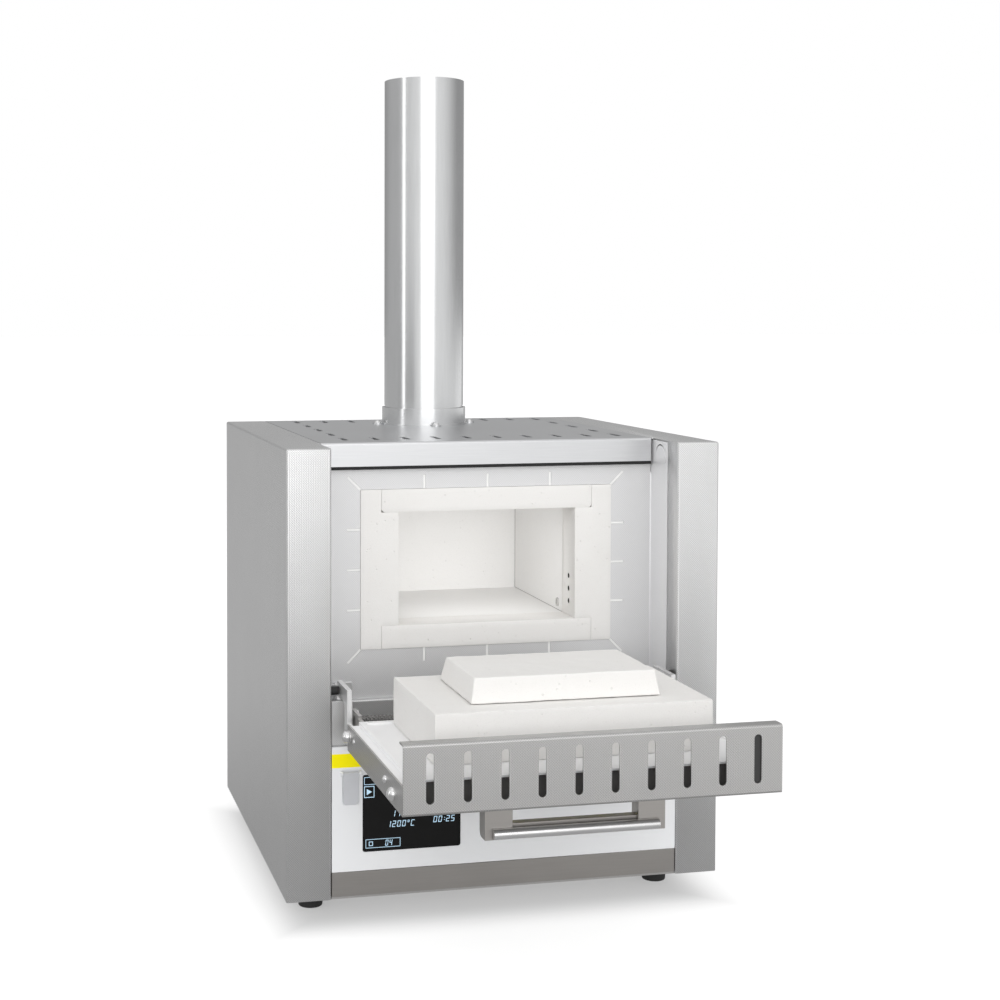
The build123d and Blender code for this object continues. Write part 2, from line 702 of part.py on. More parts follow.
def insulation_roof():
    """Fibre block over the muffle, with the exhaust port and the seat of the duct."""
    roof = block(
        -HEATER_OUT, HEATER_OUT, COLLAR_REAR_Y, muffle_back(), ROOF_TOP, INSULATION_TOP
    )
    half = DUCT_WIDTH / 2 + SEAT_GAP
    roof -= block(-half, half, duct_front() - SEAT_GAP, muffle_back() + 1, DUCT_BOTTOM, HEIGHT)
    return roof - rod_z(ROOF_TOP - 1, HEIGHT, 0, EXHAUST_PORT_Y, EXHAUST_PORT_R)


def insulation_rear():
    """Fibre block behind the muffle, with the duct seat and the sensor hole."""
    rear = block(
        -INSULATION_OUT, INSULATION_OUT, muffle_back() + BRICK_GAP, INSULATION_REAR,
        INSULATION_BOTTOM, INSULATION_TOP,
    )
    half = DUCT_WIDTH / 2 + SEAT_GAP
    top = INSULATION_TOP + 1
    rear -= block(-half, half, muffle_back() - 1, duct_rear() + SEAT_GAP, DUCT_BOTTOM, top)
    return rear - rod_y(muffle_back() - 1, INSULATION_REAR + 1, 0, SENSOR_Z, SENSOR_R + SEAT_GAP)


def duct_front():
    """Y of the front face of the exhaust duct."""
    return EXHAUST_PORT_Y - EXHAUST_PORT_R - 6


def duct_rear():
    """Y of the rear face of the exhaust duct."""
    return STACK_Y + STACK_R + 6


def exhaust_duct():
    """Flat sheet box that leads the gas from the roof port back to the stack."""
    half = DUCT_WIDTH / 2
    duct = block(-half, half, duct_front(), duct_rear(), DUCT_BOTTOM, DUCT_TOP)
    duct -= block(
        -half + SHEET, half - SHEET, duct_front() + SHEET, duct_rear() - SHEET,
        DUCT_BOTTOM + SHEET, DUCT_TOP - SHEET,
    )
    duct -= rod_z(DUCT_BOTTOM - 1, DUCT_BOTTOM + 2 * SHEET, 0, EXHAUST_PORT_Y, EXHAUST_PORT_R)
    return duct - rod_z(DUCT_TOP - 2 * SHEET, DUCT_TOP + 1, 0, STACK_Y, duct_outlet_r())


def duct_outlet_r():
    """Radius of the hole at the top of the duct, under the stack."""
    return STACK_R - 2 * STACK_WALL


def stack_screw_places():
    """Centres of the screws round the foot of the stack."""
    step = 2 * pi / STACK_SCREWS
    return [
        (STACK_EAR_R * cos(i * step), STACK_Y + STACK_EAR_R * sin(i * step))
        for i in range(STACK_SCREWS)
    ]


def stack_collar():
    """Collar at the foot of the stack: a low flange with four ears under a short sleeve."""
    flange = rod_z(HEIGHT, HEIGHT + 1.5, 0, STACK_Y, STACK_COLLAR_R + 1.5)
    sleeve = rod_z(HEIGHT, HEIGHT + STACK_COLLAR_HEIGHT, 0, STACK_Y, STACK_COLLAR_R)
    collar = flange + sleeve
    for x, y in stack_screw_places():
        collar += rod_z(HEIGHT, HEIGHT + 1.5, x, y, 5)
    bore = STACK_R - STACK_NECK + STACK_COLLAR_FIT
    collar -= rod_z(HEIGHT - 1, HEIGHT + STACK_COLLAR_HEIGHT + 1, 0, STACK_Y, bore)
    for x, y in stack_screw_places():
        collar -= rod_z(HEIGHT - 1, HEIGHT + 3, x, y, 1.5 + SCREW_PLAY)
    return collar


def stack_screws():
    """Screws that hold the collar of the stack to the top cover."""
    made = []
    for x, y in stack_screw_places():
        head = Pos(x, y, HEIGHT + 1.5) * Cone(3.2, 2.2, 2, align=ON_BASE)
        made.append(head + rod_z(HEIGHT - SHEET, HEIGHT + 1.5, x, y, 1.5))
    return Compound(children=made)


def stack_tube():
    """Exhaust stack: a straight thin tube on the duct, drawn in where the collar holds it."""
    neck_top = HEIGHT + STACK_COLLAR_HEIGHT + STACK_NECK_RISE
    neck_r = STACK_R - STACK_NECK
    tube = rod_z(DUCT_TOP, neck_top, 0, STACK_Y, neck_r) + rod_z(neck_top, STACK_TOP, 0, STACK_Y, STACK_R)
    tube -= rod_z(DUCT_TOP - 1, STACK_TOP, 0, STACK_Y, neck_r - STACK_WALL)
    return tube - rod_z(neck_top + STACK_WALL, STACK_TOP + 1, 0, STACK_Y, STACK_R - STACK_WALL)


def air_tube():
    """Ceramic tube that brings air in through the right wall of the muffle."""
    start = MUFFLE_X - 1
    tube = rod_x(start, INSULATION_OUT, AIR_TUBE_Y, AIR_TUBE_Z, AIR_TUBE_R)
    return tube - rod_x(start - 1, INSULATION_OUT + 1, AIR_TUBE_Y, AIR_TUBE_Z, AIR_TUBE_BORE)


def air_tube_hole():
    """Cutter for the air tube."""
    return rod_x(MUFFLE_X - 2, INSULATION_OUT + 1, AIR_TUBE_Y, AIR_TUBE_Z, AIR_TUBE_R + BRICK_GAP)


def temperature_sensor():
    """Sensor rod through the rear wall, with its round head behind the insulation."""
    rod = rod_y(MUFFLE_REAR_Y - SENSOR_REACH, INSULATION_REAR, 0, SENSOR_Z, SENSOR_R)
    return rod + rod_y(INSULATION_REAR, INSULATION_REAR + 9, 0, SENSOR_Z, 10)


def chamber_support():
    """Sheet bridge that carries the insulated muffle over the control bay."""
    top = INSULATION_BOTTOM
    front = lip_front()
    under = top - BASE_SHEET
    edge = INSULATION_OUT
    bridge = block(-edge, edge, front, INSULATION_REAR, under, top)
    foot = CASE_BOTTOM + BASE_SHEET
    for side in SIDES:
        bridge += block(side * edge, side * (edge - BASE_SHEET), front, INSULATION_REAR, foot, top)
    return bridge


def fascia():
    """Pale front of the control bay, with the openings of the display, the port and the dial."""
    edge = RECESS - SHEET_GAP
    rear = FASCIA_Y + FASCIA_SHEET
    plate = block(-edge, edge, FASCIA_Y, rear, FASCIA_BOTTOM, FASCIA_TOP)
    plate -= block(
        -edge - 1, edge + 1, FASCIA_Y - 1, FASCIA_Y + STRIPE_THICKNESS, STRIPE_BOTTOM, STRIPE_TOP
    )
    plate -= display_outline(FASCIA_Y - 1, rear + 1, SEAT_GAP)
    plate -= rod_y(FASCIA_Y - 1, rear + 1, DIAL_X, DIAL_Z, SPINDLE_R + 1)
    half = PORT_WIDTH / 2
    port_z = flap_middle() - 1
    plate -= block(
        FLAP_X - half, FLAP_X + half, FASCIA_Y - 1, rear + 1,
        port_z - PORT_HEIGHT / 2, port_z + PORT_HEIGHT / 2,
    )
    bed = FLAP_WIDTH / 2 + SEAT_GAP
    plate -= block(
        FLAP_X - bed, FLAP_X + bed, FASCIA_Y - 1, FASCIA_Y + 1,
        FLAP_BOTTOM - SEAT_GAP, FLAP_TOP + 1.6,
    )
    for side in SIDES:
        plate += flap_eye(side)
    return plate


def flap_middle():
    """Height of the middle of the port flap."""
    return (FLAP_TOP + FLAP_BOTTOM) / 2


def display_outline(y0, y1, grow):
    """Block of the display's outline with rounded corners."""
    window = block(
        DISPLAY_LEFT - grow, DISPLAY_RIGHT + grow, y0, y1, DISPLAY_BOTTOM - grow, DISPLAY_TOP + grow
    )
    return fillet(window.edges().filter_by(Axis.Y), DISPLAY_ROUND)


def accent_strip():
    """Coloured strip let into the fascia."""
    edge = RECESS - SHEET_GAP
    return block(-edge, edge, FASCIA_Y, FASCIA_Y + STRIPE_THICKNESS, STRIPE_BOTTOM, STRIPE_TOP)


def display_glass():
    """Dark glass of the touch display, a little proud of the fascia."""
    return display_outline(FASCIA_Y - 0.4, FASCIA_Y + FASCIA_SHEET, 0)


def display_module():
    """Housing of the display behind the fascia."""
    front = FASCIA_Y + FASCIA_SHEET
    body = block(
        DISPLAY_LEFT - 4, DISPLAY_RIGHT + 4, front, front + 16, DISPLAY_BOTTOM - 5, DISPLAY_TOP + 5
    )
    return fillet(body.edges().filter_by(Axis.Y), DISPLAY_ROUND)


def bottom_rail():
    """Rail under the fascia, folded back at top and bottom."""
    edge = RECESS - SHEET_GAP
    bottom = CASE_BOTTOM + BASE_SHEET
    front = FASCIA_Y + SHEET_GAP
    top = FASCIA_BOTTOM - SHEET_GAP
    rail = block(-edge, edge, front, front + SHEET, bottom, top)
    rail += block(-edge, edge, front, 18, top - SHEET, top)
    return rail + block(-edge, edge, front, 18, bottom, bottom + SHEET)


def port_flap():
    """Hinged cover of the data port, with its two trunnions at the top."""
    half = FLAP_WIDTH / 2
    y0 = FASCIA_Y - FLAP_THICKNESS + 1 - SEAT_GAP
    y1 = FASCIA_Y + 1 - SEAT_GAP
    flap = block(FLAP_X - half, FLAP_X + half, y0, y1, FLAP_BOTTOM, FLAP_TOP)
    flap = round_edges(flap, Axis.Y, 3, lambda p: p.Z < FLAP_BOTTOM + 0.1)
    flap = round_edges(flap, Axis.X, 1, lambda p: p.Z > FLAP_TOP - 0.1)
    ear = half + 1.8
    return flap + rod_x(FLAP_X - ear, FLAP_X + ear, flap_axis_y(), flap_axis_z(), FLAP_PIN_R)


def flap_axis_y():
    """Y of the flap's hinge axis, which clears the face of the fascia."""
    return FASCIA_Y - FLAP_PIN_R - 0.2


def flap_axis_z():
    """Height of the flap's hinge axis."""
    return FLAP_TOP - FLAP_THICKNESS / 2


def flap_eye(side):
    """Small eye on the fascia that holds one trunnion of the flap."""
    near = FLAP_X + side * (FLAP_WIDTH / 2 + SEAT_GAP)
    far = near + side * 1.9
    y = flap_axis_y()
    low = flap_axis_z() - FLAP_EYE_R
    high = flap_axis_z() + FLAP_EYE_R
    eye = rod_x(near, far, y, flap_axis_z(), FLAP_EYE_R)
    eye -= block(near - side, far + side, FASCIA_Y, FASCIA_Y + 4, low - 1, high + 1)
    eye += block(near, far, y, FASCIA_Y, low, high)
    return eye - rod_x(near - side, far + side, y, flap_axis_z(), FLAP_PIN_R + PIN_PLAY)


def port_socket():
    """Socket behind the port opening, on a small carrier."""
    front = FASCIA_Y + FASCIA_SHEET
    half = PORT_WIDTH / 2 + 1.5
    z = flap_middle() - 1
    tall = PORT_HEIGHT / 2 + 1.5
    socket = block(FLAP_X - half, FLAP_X + half - 1, front, front + 14, z - tall, z + tall)
    return socket - block(
        FLAP_X - PORT_WIDTH / 2, FLAP_X + PORT_WIDTH / 2 - 1, front - 1, front + 12,
        z - PORT_HEIGHT / 2, z + PORT_HEIGHT / 2,
    )


def dial_knob():
    """Knurled knob of the control dial, bored for its spindle."""
    y0 = dial_front()
    y1 = y0 + DIAL_DEPTH
    knob = rod_y(y0, y1, DIAL_X, DIAL_Z, DIAL_R)
    front = [edge for edge in knob.edges().filter_by(GeomType.CIRCLE) if edge.center().Y < y0 + 0.1]
    knob = fillet(front, 1.5)
    for i in range(24):
        angle = 2 * pi * i / 24
        x = DIAL_X + DIAL_R * cos(angle)
        z = DIAL_Z + DIAL_R * sin(angle)
        knob -= rod_y(y0 + 3, y1 - 1.5, x, z, 0.7)
    return knob - rod_y(y0 + 3, y1 + 1, DIAL_X, DIAL_Z, SPINDLE_R + PIN_PLAY)


def dial_front():
    """Y of the front face of the knob when it isn't pressed."""
    return FASCIA_Y - DIAL_TRAVEL - SEAT_GAP - DIAL_DEPTH


def dial_spindle():
    """Spindle that slides in the encoder when the knob is pressed."""
    stop = dial_front() + 3 + SEAT_GAP
    return rod_y(stop, FASCIA_Y + FASCIA_SHEET + 12, DIAL_X, DIAL_Z, SPINDLE_R)


def dial_encoder():
    """Encoder that takes the spindle, fixed behind the fascia."""
    front = FASCIA_Y + FASCIA_SHEET
    body = block(DIAL_X - 9, DIAL_X + 9, front, front + 15, DIAL_Z - 9, DIAL_Z + 9)
    deep = front + 12 + DIAL_TRAVEL + SEAT_GAP
    return body - rod_y(front - 1, deep, DIAL_X, DIAL_Z, SPINDLE_R + PIN_PLAY)


def control_board():
    """Circuit board on the base, with its standoffs and larger components."""
    base = CASE_BOTTOM + BASE_SHEET
    board_z = base + 10
    board = block(-130, 10, 60, 170, board_z, board_z + 1.6)
    for x in (-124, 4):
        for y in (66, 164):
            board += rod_z(base, board_z, x, y, 3)
    board += block(-120, -85, 75, 110, board_z + 1.6, board_z + 28)
    board += block(-75, -55, 75, 130, board_z + 1.6, board_z + 18)
    for y in (80, 98, 116):
        board += rod_z(board_z + 1.6, board_z + 26, -30, y, 7)
    return board


def cable_gland():
    """Gland for the mains lead: collar outside, thread through the panel and nut inside."""
    gland = rod_y(DEPTH, DEPTH + 4, GLAND_X, GLAND_Z, GLAND_R)
    dome = Pos(GLAND_X, DEPTH + 4, GLAND_Z) * Rot(-90, 0, 0)
    gland += dome * Cone(GLAND_R, GLAND_R - 2.5, GLAND_REACH - 4, align=ON_BASE)
    gland += rod_y(DEPTH - 10, DEPTH, GLAND_X, GLAND_Z, GLAND_R - 2)
    gland += rod_y(DEPTH - SHEET - 4, DEPTH - SHEET, GLAND_X, GLAND_Z, GLAND_R + 1)
    return gland - rod_y(DEPTH - 11, DEPTH + GLAND_REACH + 1, GLAND_X, GLAND_Z, GLAND_R - 4.5)


def switch_housing():
    """Frame of the mains switch, with the bores of the rocker's trunnions."""
    y1 = DEPTH + 2
    y0 = DEPTH - 18
    half_width = SWITCH_WIDTH / 2
    half_height = SWITCH_HEIGHT / 2
    body = block(
        SWITCH_X - half_width, SWITCH_X + half_width, y0, y1,
        SWITCH_Z - half_height, SWITCH_Z + half_height,
    )
    rim = block(
        SWITCH_X - half_width - 2, SWITCH_X + half_width + 2, DEPTH, y1,
        SWITCH_Z - half_height - 2, SWITCH_Z + half_height + 2,
    )
    body += rim
    body -= block(
        SWITCH_X - half_width + SWITCH_WALL, SWITCH_X + half_width - SWITCH_WALL, y0 + 2, y1 + 1,
        SWITCH_Z - half_height + SWITCH_WALL, SWITCH_Z + half_height - SWITCH_WALL,
    )
    bore = half_width - 0.4
    radius = ROCKER_PIN_R + PIN_PLAY
    return body - rod_x(SWITCH_X - bore, SWITCH_X + bore, rocker_axis_y(), SWITCH_Z, radius)


def rocker_axis_y():
    """Y of the rocker's axis."""
    return DEPTH - 5.0


def switch_rocker():
    """Rocker of the mains switch, tilted so that its own weight keeps it on its stop."""
    half_width = SWITCH_WIDTH / 2 - SWITCH_WALL - SEAT_GAP
    half_height = SWITCH_HEIGHT / 2 - SWITCH_WALL - 1.6
    axis_y = rocker_axis_y()
    face_y = DEPTH + 2.5
    body = block(-half_width, half_width, axis_y - 2, face_y, -half_height, half_height)
    body -= Pos(0, face_y + 58, 0) * Rot(0, 90, 0) * Cylinder(60, 3 * SWITCH_WIDTH)
    body += rod_x(-half_width - 1.3, half_width + 1.3, axis_y, 0, ROCKER_PIN_R)
    tilt = Pos(0, axis_y, 0) * Rot(-ROCKER_TILT / 2, 0, 0) * Pos(0, -axis_y, 0)
    return Pos(SWITCH_X, 0, SWITCH_Z) * tilt * body


def hinge_bracket():
    """Left bracket that carries the hinge pin, screwed to the front plate."""
    outer = -bracket_x()
    inner = outer + BRACKET
    low = HINGE_Z - BRACKET_R
    arm = block(outer, inner, HINGE_Y, FRONT_PLATE_Y, low, HINGE_Z + BRACKET_R)
    arm += rod_x(outer, inner, HINGE_Y, HINGE_Z, BRACKET_R)
    foot = block(outer, outer + 16, FRONT_PLATE_Y - 2, FRONT_PLATE_Y, SILL_TOP + 1, SILL_TOP + 15)
    arm += block(outer, inner, FRONT_PLATE_Y - 12, FRONT_PLATE_Y, low, SILL_TOP + 15)
    return arm + foot - rod_x(outer - 1, inner + 1, HINGE_Y, HINGE_Z, HINGE_PIN_R)


def hinge_pin():
    """Left hinge pin, headed at its inner end."""
    outer = -bracket_x()
    head = -hinge_arm_x() + HINGE_ARM + SEAT_GAP
    pin = rod_x(outer, head + 2, HINGE_Y, HINGE_Z, HINGE_PIN_R)
    return pin + rod_x(head, head + 2, HINGE_Y, HINGE_Z, HINGE_PIN_R + 2)


def stop_buffer():
    """Rubber buffer on the left post return, which the lug of the lever meets when the door is down."""
    tip = -DOOR_HALF + SHEET / 2
    return rod_x(-RECESS, tip, BUFFER_Y, buffer_z(), BUFFER_R)


def buffer_z():
    """Height of the centre of a stop buffer."""
    return HINGE_Z + LEVER_REACH - LEVER_BAR / 2 - 1


def hinge_arm_x():
    """Distance of the outer face of a hinge arm from the middle."""
    return DOOR_TONGUE / 2 - 0.5


def door_tray():
    """Outer shell of the door: skin, two sides and the slotted top edge with its lip."""
    skin = block(
        -DOOR_HALF, DOOR_HALF, DOOR_FACE_Y, DOOR_FACE_Y + SHEET, DOOR_SHOULDER, DOOR_TOP
    )
    skin += block(
        -DOOR_TONGUE / 2, DOOR_TONGUE / 2, DOOR_FACE_Y, DOOR_FACE_Y + SHEET,
        DOOR_BOTTOM, DOOR_SHOULDER,
    )
    tray = skin
    for side in SIDES:
        tray += block(
            side * DOOR_HALF, side * (DOOR_HALF - SHEET), DOOR_FACE_Y,
            DOOR_FACE_Y + DOOR_SIDE_DEPTH, DOOR_SHOULDER, DOOR_TOP,
        )
    top_rear = DOOR_FACE_Y + DOOR_TOP_DEPTH
    tray += block(-DOOR_HALF, DOOR_HALF, DOOR_FACE_Y, top_rear, DOOR_TOP - SHEET, DOOR_TOP)
    tray += block(-DOOR_HALF, DOOR_HALF, top_rear - SHEET, top_rear, DOOR_TOP - DOOR_TOP_LIP, DOOR_TOP)
    tray = round_edges(
        tray, Axis.X, BEND,
        lambda p: p.Z > DOOR_TOP - 0.1 and (p.Y < DOOR_FACE_Y + 0.1 or p.Y > top_rear - 0.1),
    )
    for i in range(DOOR_SLOTS):
        x = (i - (DOOR_SLOTS - 1) / 2) * DOOR_SLOT_PITCH
        y = DOOR_FACE_Y + DOOR_SLOT_Y
        tray -= slot_along_y(
            x, y, DOOR_TOP - 2 * SHEET, DOOR_TOP + 1, DOOR_SLOT_LENGTH, DOOR_SLOT_WIDTH
        )
    hole = lever_bolt_hole(LEVER_BOLT_R + SCREW_PLAY)
    return tray - hole - mirror(hole, about=Plane.YZ)


def door_liner():
    """Bright inner pan of the door, on its two turned-down sides, with a raised rim and side flanges."""
    half = LINER_WIDTH / 2
    seat = DOOR_FACE_Y + SHEET
    pan = block(-half, half, LINER_Y - SHEET, LINER_Y, LINER_BOTTOM, LINER_TOP)
    flange_x = DOOR_HALF - SHEET - SEAT_GAP
    flange_y = LINER_Y - LINER_FLANGE_DROP
    for side in SIDES:
        pan += block(side * half, side * (half - SHEET), seat, LINER_Y, LINER_BOTTOM, LINER_TOP)
        pan += block(
            side * (half - SHEET), side * flange_x, flange_y - SHEET, flange_y,
            LINER_BOTTOM, LINER_TOP,
        )
    rim = block(-half, half, LINER_Y, LINER_Y + LINER_RIM_RISE, LINER_BOTTOM, LINER_TOP)
    rim -= block(
        -half + LINER_RIM, half - LINER_RIM, LINER_Y - 1, LINER_Y + 5,
        LINER_BOTTOM + LINER_RIM, LINER_TOP + 1,
    )
    pan += rim
    return pan


def door_insulation():
    """Fibre block inside the door, between the skin and the liner."""
    half = DOOR_TONGUE / 2 - 6
    return block(
        -half, half, DOOR_FACE_Y + SHEET, LINER_Y - SHEET, LINER_BOTTOM + 6, LINER_TOP - 6
    )


def door_brick():
    """Flat brick on the liner."""
    half = BRICK_WIDTH / 2
    brick = block(-half, half, LINER_Y, BRICK_FACE_Y, BRICK_BOTTOM, BRICK_BOTTOM + BRICK_HEIGHT)
    return chamfer(brick.faces().sort_by(Axis.Y)[-1].edges(), 0.8)


def door_plug():
    """Tapered plug on the door brick, which closes the mouth of the muffle."""
    foot_x = MUFFLE_X - PLUG_SIDE_PLAY
    foot_low = MUFFLE_BOTTOM + PLUG_PLAY
    foot_high = MUFFLE_TOP - PLUG_PLAY
    foot = Plane.XZ.offset(-BRICK_FACE_Y) * Pos(0, (foot_low + foot_high) / 2) * Rectangle(
        2 * foot_x, foot_high - foot_low
    )
    tip_x = foot_x - PLUG_TAPER
    tip_low = foot_low + PLUG_SLOPE
    tip_high = foot_high - PLUG_RELIEF
    tip = Plane.XZ.offset(-BRICK_FACE_Y - PLUG_DEPTH) * Pos(0, (tip_low + tip_high) / 2) * Rectangle(
        2 * tip_x, tip_high - tip_low
    )
    return loft([foot, tip])


def door_levers():
    """Left lever inside the side of the door: foot, upright strip, tail bar and outward lug."""
    outer = -DOOR_HALF + SHEET
    inner = outer + LEVER
    low_z = HINGE_Z + HINGE_Y
    strip_low = low_z + LEVER_FRONT - LEVER_STRIP
    strip_high = low_z + LEVER_FRONT
    tip_y = HINGE_Y + LEVER_REACH
    foot_y = LINER_Y - LINER_FLANGE_DROP - SHEET - SEAT_GAP
    foot = block(outer, inner, LEVER_FOOT_Y, foot_y, strip_low, strip_high + LEVER_FOOT_RISE)
    strip = block(outer, inner, LEVER_FOOT_Y, tip_y, strip_low, strip_high)
    tail_z = strip_high - LEVER_TAIL
    tail = block(outer, inner, tip_y - LEVER_BAR, tip_y, tail_z, strip_high)
    lug_y = HINGE_Y + (buffer_z() - HINGE_Z)
    lug_z = HINGE_Z + HINGE_Y - BUFFER_Y - BUFFER_R - SEAT_GAP
    lug = block(outer - LUG_REACH, inner, lug_y - 4, lug_y + 4, lug_z - 2, lug_z)
    return foot + strip + tail + lug - lever_bolt_hole(LEVER_BOLT_R + SCREW_PLAY)


def hinge_arms():
    """Left hinge arm on the skin, with the bore of the hinge pin."""
    outer = -hinge_arm_x()
    inner = outer + HINGE_ARM
    seat = DOOR_FACE_Y + SHEET
    top = LINER_Y - SHEET - SEAT_GAP
    arm = block(outer, inner, seat, top, HINGE_Z, LINER_BOTTOM + 40)
    arm += block(outer, inner, seat, HINGE_Y + HINGE_ARM_R, HINGE_Z, HINGE_Z + 26)
    arm += rod_x(outer, inner, HINGE_Y, HINGE_Z, HINGE_ARM_R)
    return arm - rod_x(outer - 1, inner + 1, HINGE_Y, HINGE_Z, HINGE_PIN_R + PIN_PLAY)


def lever_bolt_hole(radius):
    """Cutter or shank where the left lever bolt passes the side of the door and the lever."""
    inner = -DOOR_HALF + SHEET + LEVER
    return rod_x(-DOOR_HALF, inner, LEVER_BOLT_Y, HINGE_Z + LEVER_BOLT_UP, radius)


def lever_bolt():
    """Left lever bolt: cap nut on a washer outside, shank, and a low head on the lever."""
    y = LEVER_BOLT_Y
    z = HINGE_Z + LEVER_BOLT_UP
    outer = -DOOR_HALF
    inner = outer + SHEET + LEVER
    seat = outer - CAP_NUT_WASHER
    nut = seat - CAP_NUT_BODY
    bolt = rod_x(seat, outer, y, z, CAP_NUT_R + 0.6) + rod_x(nut, seat, y, z, CAP_NUT_R)
    bolt += dome_x(nut, y, z, CAP_NUT_R, CAP_NUT_DOME, -1)
    bolt += lever_bolt_hole(LEVER_BOLT_R)
    return bolt + rod_x(inner, inner + 2, y, z, 3.6)


def door_screws():
    """Domed screws along both sides of the door."""
    made = []
    for reach, y, radius, height in DOOR_SCREW_PLACES:
        z = HINGE_Y + HINGE_Z + reach
        made.append(dome_x(-DOOR_HALF, y, z, radius, height, -1))
    return Compound(children=made + [mirror(screw, about=Plane.YZ) for screw in made])


def latch_plate():
    """Dark catch plate behind the slotted edge, near its right end."""
    x = DOOR_SLOT_PITCH * (DOOR_SLOTS - 1) / 2
    top = DOOR_TOP - SHEET
    y0 = DOOR_FACE_Y + SHEET
    plate = block(x - 7, x + 5, y0, y0 + 44, top - 2, top)
    return plate + block(x - 7, x + 5, y0, y0 + 2, top - 8, top)


def handle_bar():
    """Round bar of the handle."""
    half = HANDLE_BAR_LENGTH / 2
    y = handle_bar_y()
    return rod_x(-half, half, y, handle_bar_z(), HANDLE_BAR_R)


def handle_bar_y():
    """Y of the middle of the bar when the door is shut."""
    return DOOR_FACE_Y - POST_FOOT_REACH + HANDLE_BAR_R + 0.8


def handle_bar_z():
    """Height of the middle of the bar when the door is shut."""
    return HANDLE_POST_Z + POST_FOOT_DEPTH / 2 + 1.5


def handle_post():
    """Left post of the handle, rounded at its end."""
    outer = -HANDLE_SPREAD / 2
    inner = outer + POST_FOOT_WIDTH
    tip = DOOR_FACE_Y - POST_FOOT_REACH
    low = HANDLE_POST_Z - POST_FOOT_DEPTH / 2
    high = HANDLE_POST_Z + POST_FOOT_DEPTH / 2
    post = block(outer, inner, tip, DOOR_FACE_Y, low, high)
    return round_edges(post, Axis.X, 5, lambda p: p.Y < tip + 0.1 and p.Z < low + 0.1)


def handle_frame():
    """Two posts of the handle joined by a flat strip, grooved for the bar."""
    half = HANDLE_SPREAD / 2 - POST_FOOT_WIDTH
    y0 = handle_bar_y() - HANDLE_BACK_LAP
    low = HANDLE_POST_Z - HANDLE_BACK_HEIGHT / 2
    frame = block(-half, half, y0, y0 + HANDLE_BACK_DEPTH, low, low + HANDLE_BACK_HEIGHT)
    frame += handle_post()
    frame += mirrored(handle_post())
    return frame - handle_bar()


def mirrored(part):
    """The right-hand twin of a left-hand piece."""
    return mirror(part, about=Plane.YZ)


def left_and_right(part):
    """A left-hand piece with its right-hand twin, through which the air tube passes."""
    return Compound(children=[part, mirrored(part) - air_tube_hole()])


def root_pieces():
    """Every piece of the standing furnace by its name."""
    return {
        "base_plate": base_plate(),
        "side_panel_left": side_panel(),
        "side_panel_right": mirrored(side_panel()),
        "top_cover": top_cover(),
        "rear_panel": rear_panel(),
        "front_plate": front_plate(),
        "recess_walls": both_sides(recess_wall()),
        "sill_sheet": sill(),
        "seal_rope": seal_rope(),
        "front_board": front_board(),
        "collar_lintel": collar_lintel(),
        "collar_sill": collar_sill_brick(),
        "collar_sides": Compound(children=[collar_side(), mirrored(collar_side()) - collar_bores()]),
        "muffle_floor": muffle_floor(),
        "muffle_roof": muffle_roof(),
        "muffle_rear": muffle_rear(),
        "heater_plates": left_and_right(heater_plate()),
        "heating_wires": both_sides(heating_wire()),
        "insulation_sides": left_and_right(insulation_side()),
        "insulation_floor": insulation_floor(),
        "insulation_roof": insulation_roof(),
        "insulation_rear": insulation_rear(),
        "chamber_support": chamber_support(),
        "exhaust_duct": exhaust_duct(),
        "stack_collar": stack_collar(),
        "stack_tube": stack_tube(),
        "stack_screws": stack_screws(),
        "air_tube": air_tube(),
        "temperature_sensor": temperature_sensor(),
        "fascia": fascia(),
        "accent_strip": accent_strip(),
        "display_glass": display_glass(),
        "display_module": display_module(),
        "bottom_rail": bottom_rail(),
        "port_socket": port_socket(),
        "dial_encoder": dial_encoder(),
        "control_board": control_board(),
        "cable_gland": cable_gland(),
        "switch_housing": switch_housing(),
        "hinge_brackets": both_sides(hinge_bracket()),
        "hinge_pins": both_sides(hinge_pin()),
        "stop_buffers": both_sides(stop_buffer()),
        "feet": feet(),
        "foot_screws": foot_screws(),
    }


def moving_pieces():
    """The small pieces that move on the furnace body."""
    return {
        "port_flap": port_flap(),
        "dial_spindle": dial_spindle(),
        "dial_knob": dial_knob(),
        "switch_rocker": switch_rocker(),
    }


def door_pieces():
    """Every piece of the door, drawn shut."""
    return {
        "door_tray": door_tray(),
        "door_liner": door_liner(),
        "door_insulation": door_insulation(),
        "door_brick": door_brick(),
        "door_plug": door_plug(),
        "door_levers": both_sides(door_levers()),
        "hinge_arms": both_sides(hinge_arms()),
        "lever_bolts": both_sides(lever_bolt()),
        "door_screws": door_screws(),
        "latch_plate": latch_plate(),
        "handle_bar": handle_bar(),
        "handle_frame": handle_frame(),
    }


def origin_shift():
    """How far everything moves along Y, so that the origin lies under the middle of the whole."""
    front = HINGE_Y + HINGE_Z - DOOR_TOP
    rear = DEPTH + GLAND_REACH
    return -(front + rear) / 2


def save(pieces, place):
    """Write each piece to its own file, at its place."""
    for name, piece in pieces.items():
        export_step(place * piece, f"parts/{name}.step")


os.makedirs("parts", exist_ok=True)
HOME = Pos(0, origin_shift(), 0)
save(root_pieces(), HOME)
save(moving_pieces(), HOME)
save({name: swing_open(piece) for name, piece in door_pieces().items()}, HOME)
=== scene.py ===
import json
import math

import bpy
from mathutils import Matrix, Vector


